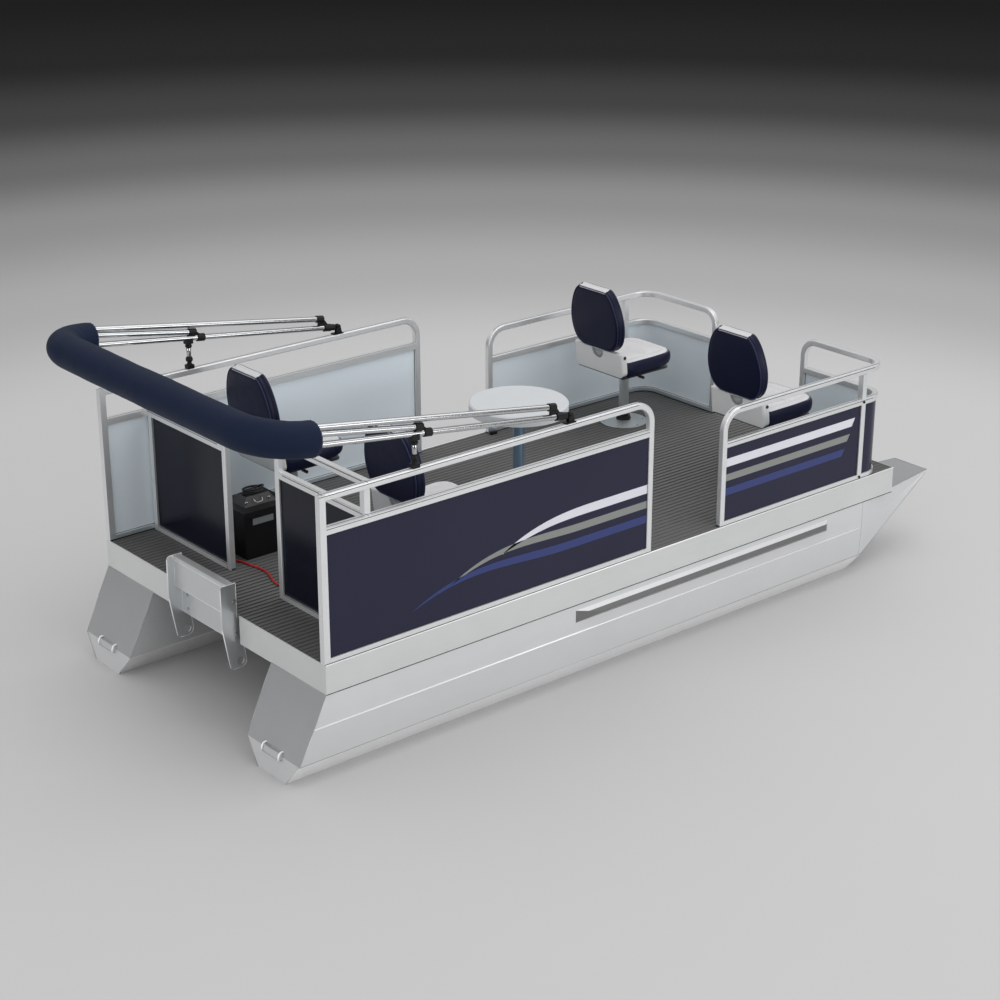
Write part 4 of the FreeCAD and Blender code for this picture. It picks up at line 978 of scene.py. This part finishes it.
def covered(data, trim):
    """Cover in seat vinyl with its trim values."""
    set_trim(data, trim)
    data.materials.clear()
    data.materials.append(FINISHES["SeatVinyl"].material)
    return data


def seat_cushion_mesh():
    """Cushion cover with sewn channels on its top."""
    data, co = soft_cover("SeatCushion", cushion_shape)
    x, y, z = co.T
    inside = rounded_distance(x, y)
    on_top = z > CUSHION_HEIGHT * 0.7
    inner = on_top & (np.abs(inside - INNER_SEAM) < SEAM_HALF)
    cross = on_top & (np.abs(x - CROSS_SEAM) < SEAM_HALF) & (inside > INNER_SEAM)
    edge = (np.abs(z - skirt_top(x)) < SEAM_HALF) & (inside < TRIM_INSET + 0.002)
    under = z < UNDER_BAND + FRONT_LIFT * frontness(x) ** 1.5
    data = sewn(data, co, inner | cross, edge | under, Z_AXIS, CUSHION_SWELL)
    return covered(data, np.maximum(z - skirt_top(x), inside - TRIM_INSET))


PAD_FOOT = 0.0243
PAD_HEIGHT = 0.385
PAD_HALF = (
    (0.000, 1.000),
    (0.098, 1.000),
    (0.128, 0.982),
    (0.156, 0.905),
    (0.180, 0.790),
    (0.198, 0.650),
    (0.209, 0.500),
    (0.209, 0.360),
    (0.197, 0.210),
    (0.170, 0.085),
    (0.125, 0.010),
    (0.070, 0.000),
)
PAD_REAR = -0.040
PAD_FRONT = 0.022
BACK_LEAN = Matrix.Rotation(-math.radians(7), 4, "Y")
TOP_STRIP_HALF = 0.112
PANEL_SEAM = 0.045


def pad_outline(steps=8):
    """Smooth outline of the back pad seen from behind, as (y, z) from the fold axis."""
    half = [Vector((y, PAD_FOOT + PAD_HEIGHT * share)) for y, share in PAD_HALF]
    loop = half + [Vector((-p.x, p.y)) for p in reversed(half[1:])]
    points = []
    for i, start in enumerate(loop):
        before = loop[i - 1]
        stop = loop[(i + 1) % len(loop)]
        after = loop[(i + 2) % len(loop)]
        for k in range(steps):
            t = k / steps
            bend = (stop - before) * t + (before * 2 - start * 5 + stop * 4 - after) * t**2
            points.append(start + (bend + (start * 3 - before - stop * 3 + after) * t**3) * 0.5)
    return points


def distances(points):
    """Distance of each point from the first, along the line through them."""
    reached = [0.0]
    for a, b in zip(points, points[1:]):
        reached.append(reached[-1] + (b - a).length)
    return reached


def even_outline(points, count):
    """Closed outline sampled at equal steps."""
    loop = points + points[:1]
    lengths = distances(loop)
    even = []
    k = 0
    for i in range(count):
        goal = lengths[-1] * i / count
        while lengths[k + 1] < goal:
            k += 1
        share = (goal - lengths[k]) / max(lengths[k + 1] - lengths[k], 1e-9)
        even.append(loop[k].lerp(loop[k + 1], share))
    return even


def outline_distance(points, y, z):
    """Distance of each (y, z) to a closed outline."""
    nearest = np.full(len(y), 9.0)
    for i, a in enumerate(points):
        b = points[(i + 1) % len(points)]
        run = b - a
        share = np.clip(((y - a.x) * run.x + (z - a.y) * run.y) / run.length_squared, 0, 1)
        nearest = np.minimum(nearest, np.hypot(y - a.x - share * run.x, z - a.y - share * run.y))
    return nearest


PAD_OUTLINE = even_outline(pad_outline(), 110)
PAD_GROOVE = -0.010
PAD_PROFILE = (
    (PAD_REAR, 0.170, -0.003),
    (PAD_REAR, 0.100, -0.002),
    (PAD_REAR, 0.050, 0.000),
    (PAD_REAR, 0.024, 0.001),
    (PAD_REAR, 0.012, 0.005),
    (PAD_REAR, 0.004, 0.013),
    (PAD_REAR, 0.002, 0.022),
    (PAD_GROOVE, 0.006, -0.003),
    (PAD_GROOVE, 0.010, 0.000),
    (PAD_GROOVE, 0.004, 0.004),
    (PAD_GROOVE, -0.003, 0.012),
    (PAD_FRONT, -0.002, -0.014),
    (PAD_FRONT, 0.006, -0.005),
    (PAD_FRONT, 0.018, 0.000),
    (PAD_FRONT, 0.050, 0.003),
    (PAD_FRONT, 0.100, 0.004),
    (PAD_FRONT, 0.170, 0.004),
)


def pad_ring(inset, x):
    """Outline of the pad moved inwards, at a depth x, crowned towards its middle."""
    ring = []
    total = len(PAD_OUTLINE)
    hub = Vector((0, PAD_FOOT + PAD_HEIGHT * 0.47))
    for i, point in enumerate(PAD_OUTLINE):
        run = (PAD_OUTLINE[(i + 1) % total] - PAD_OUTLINE[i - 1]).normalized()
        inward = Vector((-run.y, run.x))
        if inward.dot(hub - point) < 0:
            inward = -inward
        moved = point + inward * inset if inset < 0.03 else point.lerp(hub, (inset - 0.01) / 0.20)
        ring.append(Vector((x, moved.x, moved.y)))
    return ring


def pad_shape(shape):
    """Back pad: a rounded rear shell, a groove, and a fuller front cushion."""
    join_rings(shape, [pad_ring(inset, face + step) for face, inset, step in PAD_PROFILE])


def seat_pad_mesh():
    """Back cover: navy behind, pale in front and over the middle of the top edge."""
    data, co = soft_cover("SeatPad", pad_shape)
    x, y, z = co.T
    inside = outline_distance(PAD_OUTLINE, y, z)
    in_front = x > PAD_FRONT - 0.006
    panel_seam = in_front & (np.abs(inside - PANEL_SEAM) < SEAM_HALF)
    rows = [PAD_FOOT + PAD_HEIGHT * share for share in (0.34, 0.66)]
    on_row = np.any([np.abs(z - row) < SEAM_HALF for row in rows], axis=0)
    row_seam = in_front & (inside > PANEL_SEAM) & on_row
    shell = x < PAD_GROOVE + 0.002
    data = sewn(data, co, panel_seam | row_seam, shell, X_AXIS, PAD_SWELL)
    data.transform(BACK_LEAN)
    below_crown = z - (PAD_FOOT + PAD_HEIGHT - 0.020)
    strip = np.minimum(np.minimum(below_crown, TOP_STRIP_HALF - np.abs(y)), x - (PAD_REAR + 0.004))
    return covered(data, np.maximum(x - (PAD_FRONT - 0.010), strip))


def closed_bead_mesh(name, points, radius):
    return mesh_from(name, lambda shape: bead(shape, points, radius, 8, True))


def seat_soft_goods():
    """Cushion, pad and welts of each seat, made once and used four times."""
    cushion = seat_cushion_mesh()
    pad = seat_pad_mesh()
    welt_plan = even_outline(plan_outline(0.019), 140)
    welt_line = [Vector((spot.x, spot.y, skirt_top(spot.x) + 0.0015)) for spot in welt_plan]
    welt = closed_bead_mesh("CushionWelt", welt_line, 0.0026)
    ridge_line = [BACK_LEAN @ p for p in pad_ring(0.009, PAD_REAR + 0.0055)]
    ridge = closed_bead_mesh("PadRidge", ridge_line, 0.0030)
    front_line = [BACK_LEAN @ p for p in pad_ring(0.0035, PAD_FRONT - 0.0085)]
    front_welt = closed_bead_mesh("PadWelt", front_line, 0.0026)
    for name in SEAT_NAMES:
        axis = JOINTS[name + "_swivel"]
        fold = JOINTS[name + "_fold"]
        stand = Vector((axis.x, axis.y, low(name + "_cushion").z))
        seat = piece(name + "_cushion_cover", cushion, "SeatVinyl", name + "_pan", stand)
        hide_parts(name + "_cushion")
        piece(name + "_cushion_welt", welt, "WeltNavy", name + "_pan", stand)
        back = piece(name + "_back_cover", pad, "SeatVinyl", name + "_back", fold)
        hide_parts(name + "_back_pad")
        piece(name + "_back_ridge", ridge, "WeltNavy", name + "_back", fold)
        piece(name + "_back_welt", front_welt, "WeltNavy", name + "_back", fold)


seat_soft_goods()


# Folded canopy in its boot

HINGE_X = 1.517
HINGE_RISE = 0.038
STERN_RISE = 0.239
BUNDLE_SLOPE = (STERN_RISE - HINGE_RISE) / HINGE_X
BOOT_RISE = 0.030
BOOT_START = -0.020
BOOT_AFT = -0.262
BOOT_BEND = 0.225
BOOT_STEP = 0.014
BOOT_RADIUS = 0.090
BUNDLE_UP = Vector((BUNDLE_SLOPE, 0, 1)).normalized()


def bundle_point(x, above, side):
    """Point of the folded bundle over a rail, above the lowest bow's middle line."""
    height = STERN_RAIL + HINGE_RISE + (HINGE_X - x) * BUNDLE_SLOPE
    return at(x, side * RAIL_LINE, height) + BUNDLE_UP * above


def bent_path(points, radius, step):
    """Points and directions along straight runs joined by arcs."""
    spots = []
    start = points[0]
    for i in range(1, len(points)):
        travel = (points[i] - points[i - 1]).normalized()
        if i == len(points) - 1:
            stop = points[i]
        else:
            ahead = (points[i + 1] - points[i]).normalized()
            turn = travel.angle(ahead)
            trim = radius * math.tan(turn / 2)
            stop = points[i] - travel * trim
        count = max(1, round((stop - start).length / step))
        spots += [(start.lerp(stop, k / count), travel) for k in range(count)]
        if i == len(points) - 1:
            spots.append((stop, travel))
            break
        inward = (ahead - travel * travel.dot(ahead)).normalized()
        hub = stop + inward * radius
        count = max(2, round(radius * turn / step))
        for k in range(count):
            angle = turn * k / count
            ahead_now = travel * math.cos(angle) + inward * math.sin(angle)
            spot = hub + (travel * math.sin(angle) - inward * math.cos(angle)) * radius
            spots.append((spot, ahead_now.normalized()))
        start = points[i] + ahead * trim
    return spots


def boot_path():
    """Points, directions and distances from the cover's first mouth to its second."""
    starts = [bundle_point(BOOT_START, BOOT_RISE, side) for side in SIDES]
    corners = [bundle_point(BOOT_AFT, BOOT_RISE, side) for side in SIDES]
    path = bent_path([starts[0], *corners, starts[1]], BOOT_BEND, BOOT_STEP)
    places = distances([spot for spot, _ in path])
    return [(spot, along, place) for (spot, along), place in zip(path, places)]


BOOT_LINE = boot_path()


def to_mouth(place):
    """Distance along the cover to its nearer mouth."""
    return min(place, BOOT_LINE[-1][2] - place)


def drawn_in(place):
    """Share of the cover's radius, drawn in at both mouths."""
    return 1 - 0.06 * math.exp(-((to_mouth(place) / 0.012) ** 2))


def round_boot(along, angle):
    """Direction out of the cover at an angle round it."""
    return along.cross(BUNDLE_UP).normalized() * math.cos(angle) + BUNDLE_UP * math.sin(angle)


def boot_ring(spot, along, place, count=64):
    """Ring of the cover: a soft round with wrinkles, drawn in at both mouths."""
    bend = abs(along.dot(PORT))
    in_bend = 4 * bend * (1 - bend)
    ring = []
    for i in range(count):
        angle = 2 * math.pi * i / count
        way = round_boot(along, angle)
        spot_on = spot + way * BOOT_RADIUS
        soft = noise.noise(spot_on * 3.1) * 0.0035 + noise.noise(spot_on * 9.0) * 0.0015
        inner = max(0.0, way.dot(FORE)) * in_bend
        creased = math.sin(place * 95 + 1.6 * noise.noise(spot_on * 6)) * 0.0028 * inner
        sag = -0.004 * max(0.0, -math.sin(angle)) ** 2
        gathered = 0.0018 * math.sin(22 * angle + 3) * math.exp(-((to_mouth(place) / 0.03) ** 2))
        radius = (BOOT_RADIUS - 0.002) * drawn_in(place) + soft + creased + sag + gathered
        ring.append(spot + way * radius)
    return ring


def boot():
    """Canvas cover with a felled seam along it and a cord in the hem of each mouth."""
    mouths = ((0, 1), (-1, -1))

    def cover(shape):
        rings = [boot_ring(*stop) for stop in BOOT_LINE]
        for index, inward in mouths:
            spot, along, _ = BOOT_LINE[index]
            lip = rings[index]
            deeper = [spot + (p - spot) * 0.90 + along * (inward * 0.012) for p in lip]
            bottom = [spot + (p - spot) * 0.55 + along * (inward * 0.010) for p in lip]
            rings = [bottom, deeper] + rings if index == 0 else rings + [deeper, bottom]
        join_rings(shape, rings)

    def seams(shape):
        for degrees in (-62, -68):
            line = []
            for spot, along, place in BOOT_LINE:
                way = round_boot(along, math.radians(degrees))
                line.append(spot + way * ((BOOT_RADIUS - 0.0045) * drawn_in(place)))
            bead(shape, line, 0.0022, 6)

    def hems(shape):
        for index, inward in mouths:
            spot, along, _ = BOOT_LINE[index]
            lip = [spot + (p - spot) * 0.995 for p in boot_ring(spot, along, 0.0)]
            bead(shape, [p + along * (inward * 0.004) for p in lip], 0.0042, 8, True)

    body = built("bimini_boot_cover", cover, "Canvas", "bimini")
    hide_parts("bimini_boot")
    built("bimini_boot_seam", seams, "HemRope", "bimini")
    built("bimini_boot_hems", hems, "HemRope", "bimini")


boot()


# Painted shadow lines, painted highlights, grooves and rounded edges


def sharp_runs(name, turn, least):
    """Straight stretches along a node's edges that turn by more than an angle."""
    shape = bmesh.new()
    shape.from_mesh(NODES[name].data)
    bmesh.ops.remove_doubles(shape, verts=shape.verts, dist=0.00001)
    runs = []
    for edge in shape.edges:
        if len(edge.link_faces) == 2 and edge.calc_face_angle() > turn and edge.calc_length() > least:
            runs.append([vert.co.copy() for vert in edge.verts])
    shape.free()
    return runs


def edge_beads(name, node, finish, radius, turn=math.radians(50)):
    """Thin beads along the sharp edges of a node that are clear of the floor."""
    runs = sharp_runs(node, turn, 0.004)

    def build(shape):
        for run in runs:
            if max(point.z for point in run) > radius:
                bead(shape, run, radius, 4)

    built(name, build, finish)


CHINE = 0.124
CREASE = 0.297
HULL_TOP = 0.455
RAKE_RUN = 0.160
RAKE_SLOPE = RAKE_RUN / (HULL_TOP - CHINE)
CREASE_STOP = NOSE_SEAM - 0.02
DECK_LENGTH = high("fascia").x - STERN
HAIR = 0.0004


def side_lines(name, runs, finish, radius, count=8):
    """Straight beads that lie alike on both sides of the boat, given by their ends on the port side."""

    def build(shape):
        for start, stop in runs:
            for side in SIDES:
                bead(shape, [Vector((p.x, side * p.y, p.z)) for p in (start, stop)], radius, count)

    built(name, build, finish)


def hull_lines():
    """Bead of painted highlight on each pontoon's crease, a painted highlight on the deck's edge lip, and a
    dark line of painted shadow under the deck's edge.
    """
    foot = low("fascia").z
    hull = high("pontoon_port").y
    crease = [at(x, hull, CREASE - DECK) for x in (-(foot - CREASE) * RAKE_SLOPE, CREASE_STOP)]
    # Painted highlight: a bright bead along the crease.
    side_lines("hull_crease_highlights", [crease], "PaintedHighlight", 0.0042)
    # Painted shadow under the deck's edge, and a painted highlight on its lip.
    for name, level, finish, radius in (
        ("deck_edge_shadow_lines", foot - DECK, "GrooveBlackAndPaintedShadow", 0.0020),
        ("deck_edge_highlights", -0.002, "PaintedHighlight", 0.0034),
    ):
        edge = [at(x, high("fascia").y, level) for x in (0, DECK_LENGTH)]
        side_lines(name, [edge], finish, radius)


SILL_RUNS = ((0.002, 2.090), (2.600, 3.860))
SILL_LEVEL = 0.0012


def sill_shadow_lines():
    """Dark line of painted shadow under each side fence, where its sill stands on the deck's edge."""
    runs = [[at(x, FENCE_SIDE + HAIR, SILL_LEVEL) for x in run] for run in SILL_RUNS]
    side_lines("sill_shadow_lines", runs, "GrooveBlackAndPaintedShadow", 0.0016, 6)


GROOVE_DROP = 0.0085
SIDE_RAILS = (
    (STERN_RAIL, 0.000, 1.975),
    (STERN_MID, TUBE, 2.056),
    (BOW_RAIL, 2.715, 3.800),
    (BOW_MID, 2.634, 3.800),
)
TRANSOM_RAILS = ((STERN_RAIL, 0.330), (STERN_MID, 0.286))


def rail_grooves():
    """Dark channel along the outer face of each straight rail, a little under its top."""

    def build(shape):
        for side in SIDES:
            for height, start, stop in SIDE_RAILS:
                ends = [at(x, side * (FENCE_SIDE - HAIR), height - GROOVE_DROP) for x in (start, stop)]
                bead(shape, ends, 0.0016, 6)
            for height, stop in TRANSOM_RAILS:
                spans = (FENCE_SIDE - TUBE, stop)
                ends = [at(TRANSOM_FACE + HAIR, side * y, height - GROOVE_DROP) for y in spans]
                bead(shape, ends, 0.0019, 6)

    built("rail_grooves", build, "GrooveBlackAndPaintedShadow")


# Painted shadow: thin black beads round each panel, where it meets its frame.
for part in FENCE_PARTS:
    edge_beads("gasket_" + part, "panels_" + part, "GrooveBlackAndPaintedShadow", 0.0020)
hull_lines()
sill_shadow_lines()
rail_grooves()
# Painted highlight: bright beads along the bracket's sharp edges.
edge_beads("bracket_edge_highlights", "motor_bracket", "PaintedHighlight", 0.0013)
edge_beads("hull_edges_port", "pontoon_port", "HullSheet", 0.0022, math.radians(24))
edge_beads("hull_edges_starboard", "pontoon_starboard", "HullSheet", 0.0022, math.radians(24))


# Small hardware

SLEEVE = [(0.0112, 0.906), (0.0122, 0.908), (0.0122, 0.950), (0.0112, 0.952)]
STRUT_FOOT = [(0.0160, 0.878), (0.0190, 0.884), (0.0190, 0.893), (0.0150, 0.901), (0.0125, 0.906)]
STRUT_HEAD = [(0.0125, 0.952), (0.0165, 0.956), (0.0185, 0.963), (0.0160, 0.970)]


def strut_turnings(name, profiles, count, finish):
    """Turned parts of each strut, as (radius, height above the deck) pairs."""
    middle = centre("bimini_struts").x

    def build(shape):
        for side in SIDES:
            for profile in profiles:
                lathe(shape, profile, Vector((middle, side * RAIL_LINE, DECK)), count)

    built(name, build, finish)


def on_side(line, spots):
    """Places and directions on both sides of the boat, from (x, z) pairs."""
    return [(at(x, side * line, z), PORT * side) for side in SIDES for x, z in spots]


CAP_SPOTS = ((3.725, 0.460), (3.725, 0.012))
RIVET_PITCH = 0.288
EDGE_RIVETS = [(0.14 + RIVET_PITCH * i, -0.140) for i in range(14)]
FOOT_RIVETS = [(x, 0.013) for x in (0.017, 1.02, 2.073, 2.617, 3.30)]
CHEEK_BOLTS = ((-0.010, 0.070), (-0.010, -0.100), (0.016, -0.060))
APRON_FACE = -0.006
APRON_BOLTS = [(y, z) for y in (-0.19, 0.19) for z in (-0.045, -0.120)]


def screw_ring(middle, radius, height, first):
    """Six places for screws round a foot on the deck."""
    places = []
    for k in range(6):
        turn = first + math.pi / 3 * k
        step = Vector((math.cos(turn), math.sin(turn), 0)) * radius
        places.append((Vector((middle.x, middle.y, DECK + height)) + step, UP))
    return places


def fasteners():
    """Caps, rivets, bolts and screws."""
    heads("bow_post_caps", on_side(high("fence_bow_port").y, CAP_SPOTS), 0.0075, 0.007, "BlackNylon")
    rivets = on_side(high("fascia").y, EDGE_RIVETS) + on_side(FENCE_SIDE, FOOT_RIVETS)
    heads("edge_rivets", rivets, 0.0034, 0.0018, "Weld")
    bolts = on_side(high("motor_bracket").y, CHEEK_BOLTS)
    bolts += [(at(APRON_FACE, y, z), -FORE) for y, z in APRON_BOLTS]
    heads("bracket_bolts", bolts, 0.0062, 0.0060, "BoltSteel", hex_head)
    screws = screw_ring(centre("table_base"), 0.094, 0.0050, 0.0)
    for name in SEAT_NAMES:
        screws += screw_ring(JOINTS[name + "_swivel"], 0.122, 0.0062, math.pi / 6)
    heads("floor_screws", screws, 0.0075, 0.0042, "BoltSteel")


HOLE_RADIUS = 0.050
HOLE_RISE = 0.014
HOLLOW = ((0.985, -0.0235), (0.95, -0.0165), (0.80, -0.0115), (0.40, -0.0095))


def hand_holes():
    """Darker grey hollow behind each seat back's hand hole, its grey painted shade."""

    def build(shape):
        turns = [math.pi * (1 + i / 23) for i in range(24)]
        rings = []
        for share, x in HOLLOW:
            hub = Vector((x, 0, HOLE_RISE))
            arc = [Vector((0, math.cos(turn), math.sin(turn))) * HOLE_RADIUS * share for turn in turns]
            rings.append([BACK_LEAN @ (hub + step) for step in arc])
        join_rings(shape, rings)

    hollow = mesh_from("HandHollow", build)
    for name in SEAT_NAMES:
        piece(name + "_hand_hollow", hollow, "HollowPaintedShade", name + "_back", JOINTS[name + "_fold"])


LUG_STAND = 0.016
LUG_HALF = 0.069
LUG_LINE = (
    (0.020, 0.020),
    (0.004, 0.0225),
    (-0.006, 0.0205),
    (-0.013, 0.012),
    (-0.0175, 0.000),
    (-0.0180, -0.015),
)


def lug_horns():
    """Turned ends of the lug on each pontoon's stern, bright with painted highlight."""
    spots = [(low(name).x, centre(name).y) for name in ("pontoon_port", "pontoon_starboard")]

    def build(shape):
        for lip_x, middle in spots:
            for y in (-LUG_HALF, LUG_HALF):
                line = [Vector((lip_x + LUG_STAND + x, middle + y, CHINE + z)) for x, z in LUG_LINE]
                bead(shape, line, 0.0052, 8)

    built("lug_horns", build, "PaintedHighlight")


PLATE_HALF = (0.065, 0.019)
PLATE_MIDDLE = (0.517, 0.203)
PLATE_PROUD = 0.0016
PLATE_BEVEL = 0.0014
CASE_TOP = 0.235
CASE_LEAN = math.tan(math.radians(2.2))
LID_FOOT = 0.265
LID_EDGE = 0.066
LID_SLOPE = Vector((0, 0.028, 0.046))
LID_OUT = Vector((0, -0.046, 0.028)).normalized()
HANDLE = (
    (0.505, 0.032, 0.001),
    (0.505, 0.030, 0.012),
    (0.506, 0.018, 0.016),
    (0.512, 0.010, 0.017),
    (0.530, 0.008, 0.017),
    (0.548, 0.010, 0.017),
    (0.554, 0.018, 0.016),
    (0.555, 0.030, 0.012),
    (0.555, 0.032, 0.001),
)
CLIP_PROFILE = [(0.0075, 0), (0.0075, 0.002), (0.0045, 0.003), (0.0045, 0.012), (0.003, 0.014)]
CLIP_PLACES = (0.462, 0.598)


def battery_fittings():
    """Bare plate on the case, a wire handle and two clips on the lid's slope."""
    face = low("battery_box").y + 0.0022
    edge = centre("battery_box").y - LID_EDGE

    def plate(shape):
        rings = []
        for proud, inset in ((0.0, 0.0), (PLATE_PROUD, PLATE_BEVEL)):
            ring = []
            for x_side, z_side in ((-1, -1), (1, -1), (1, 1), (-1, 1)):
                x = PLATE_MIDDLE[0] + x_side * (PLATE_HALF[0] - inset)
                z = PLATE_MIDDLE[1] + z_side * (PLATE_HALF[1] - inset)
                ring.append(at(x, face + (CASE_TOP - z) * CASE_LEAN - proud, z))
            rings.append(ring)
        rows = join_rings(shape, rings, capped=False)
        shape.faces.new(rows[-1])

    def on_slope(x, up, out=0.0):
        """Point on the lid's slope, up from its foot and out from its face."""
        return at(x, edge, LID_FOOT) + LID_SLOPE * (up / LID_SLOPE.z) + LID_OUT * out

    def handle(shape):
        bead(shape, [on_slope(*step) for step in HANDLE], 0.0022, 8)

    def clips(shape):
        for x in CLIP_PLACES:
            lathe(shape, CLIP_PROFILE, on_slope(x, 0.020), 16, LID_OUT)

    built("battery_plate", plate, "BarePlate", smooth=False)
    built("battery_handle", handle, "BoltSteel", "battery_lid")
    built("battery_clips", clips, "BoltSteel", "battery_lid")


strut_turnings("strut_sleeves", [SLEEVE], 32, "BowTube")
strut_turnings("strut_boots", [STRUT_FOOT, STRUT_HEAD], 24, "BlackNylon")
fasteners()
hand_holes()
battery_fittings()
lug_horns()


# Stripes on the side panels

FILM = 0.0006
PANEL_FACE = high("panels_stern_port").y
BOW_STRIPE_AFT = 2.634
BOW_STRIPE_SLANT = 0.024
STERN_STRIPE_FORE = 2.056
WAVE_START = 0.35
WAVE_TURN = 0.9 * math.pi
TIP_DROP = 0.10
TIP_HALF = 0.0004
STRIPES = (
    {"film": "FilmWhite", "level": 0.356, "width": 0.047, "fore": 3.655, "aft": 1.080, "lift": 0.006},
    {"film": "FilmGrey", "level": 0.271, "width": 0.039, "fore": 3.620, "aft": 0.760, "lift": 0.052},
    {"film": "FilmBlue", "level": 0.190, "width": 0.042, "fore": 3.583, "aft": 0.520, "lift": 0.076},
)


def strip_faces(shape, tops, bottoms, side):
    """Thin band between two lines on a side panel, as (x, z) pairs from the stern and the deck."""
    face = side * (PANEL_FACE + FILM)
    upper = [shape.verts.new(at(x, face, z)) for x, z in tops]
    lower = [shape.verts.new(at(x, face, z)) for x, z in bottoms]
    for i in range(len(upper) - 1):
        shape.faces.new((upper[i], upper[i + 1], lower[i + 1], lower[i]))


def bow_stripe(shape, stripe, side):
    """Straight band with a slanted fore end."""
    lines = []
    for way in (1, -1):
        level = stripe["level"] + way * stripe["width"] / 2
        lines.append([(BOW_STRIPE_AFT, level), (stripe["fore"] + way * BOW_STRIPE_SLANT / 2, level)])
    strip_faces(shape, *lines, side)


def stern_stripe(shape, stripe, side, count=48):
    """Band that starts straight at the gate and tapers aft in one slow wave."""
    tops, bottoms = [], []
    for i in range(count + 1):
        share = i / count
        x = STERN_STRIPE_FORE + (stripe["aft"] - STERN_STRIPE_FORE) * share
        bend = max(0.0, share - WAVE_START) / (1 - WAVE_START)
        wave = stripe["lift"] * math.sin(bend * WAVE_TURN) * bend
        middle = stripe["level"] + wave - TIP_DROP * bend**2.6
        half = stripe["width"] / 2 * (1 - bend**2) ** 0.8 + TIP_HALF
        tops.append((x, middle + half))
        bottoms.append((x, middle - half))
    strip_faces(shape, tops, bottoms, side)


for stripe in STRIPES:

    def bands(shape):
        for side in SIDES:
            bow_stripe(shape, stripe, side)
            stern_stripe(shape, stripe, side)

    built("panel_stripes_" + stripe["film"].lower(), bands, stripe["film"])


# Stage and light

FLOOR_HALF = 40
SKY_LEVEL = 0.94
STUDIO = (
    (0.0, grey(0.05)),
    (0.14, grey(0.05)),
    (0.26, grey(0.46)),
    (0.55, grey(0.60)),
    (1.0, (0.62, 0.62, 0.63)),
)


def floor():
    """Pale floor under the boat."""
    grid = {"x_segments": 1, "y_segments": 1, "size": FLOOR_HALF}
    data = mesh_from("Floor", lambda shape: bmesh.ops.create_grid(shape, **grid))
    data.materials.append(FINISHES["StudioFloor"].material)
    placed("Floor", data)


def studio():
    """An even soft sky that lights the boat, and the darker studio that the camera and shiny metal see."""
    world = bpy.data.worlds.new("Studio")
    bpy.context.scene.world = world
    world.use_nodes = True
    nodes = Nodes(world.node_tree)
    nodes.tree.nodes.clear()
    height = nodes.node("SeparateXYZ", {0: nodes.node("TexCoord", out="Generated")}, out="Z")
    seen = nodes.node("Background", {"Color": nodes.ramp(height, STUDIO), "Strength": 1.0})
    sky = nodes.node("Background", {"Color": (*grey(SKY_LEVEL), 1), "Strength": 1.0})
    rays = nodes.node("LightPath", out="Is Camera Ray")
    kinds = rays.node.outputs
    for kind in ("Is Glossy Ray", "Is Transmission Ray"):
        rays = nodes.math("ADD", rays, kinds[kind], use_clamp=True)
    output = nodes.tree.nodes.new("ShaderNodeOutputWorld")
    nodes.feed(output.inputs[0], nodes.node("MixShader", {0: rays, 1: sky, 2: seen}))


def area_lamp(name, spot, target, size, power):
    """Rectangular lamp at a spot, turned towards a target."""
    lamp = bpy.data.lights.new(name, "AREA")
    lamp.energy = power
    lamp.shape = "RECTANGLE"
    lamp.size, lamp.size_y = size
    thing = placed(name, lamp)
    thing.location = spot
    thing.rotation_euler = (Vector(target) - Vector(spot)).to_track_quat("-Z", "Y").to_euler()


floor()
studio()
area_lamp("Overhead", (2.4, -1.6, 7.5), (0.4, 0, 0.6), (8.0, 6.0), 163)
area_lamp("Side", (3.0, -15.0, 2.4), (0.4, 0, 0.4), (13.0, 4.0), 690)
area_lamp("Stern", (-15.0, -0.5, 2.4), (0, 0, 0.2), (10.0, 4.0), 330)
bpy.context.scene.view_settings.view_transform = "Standard"
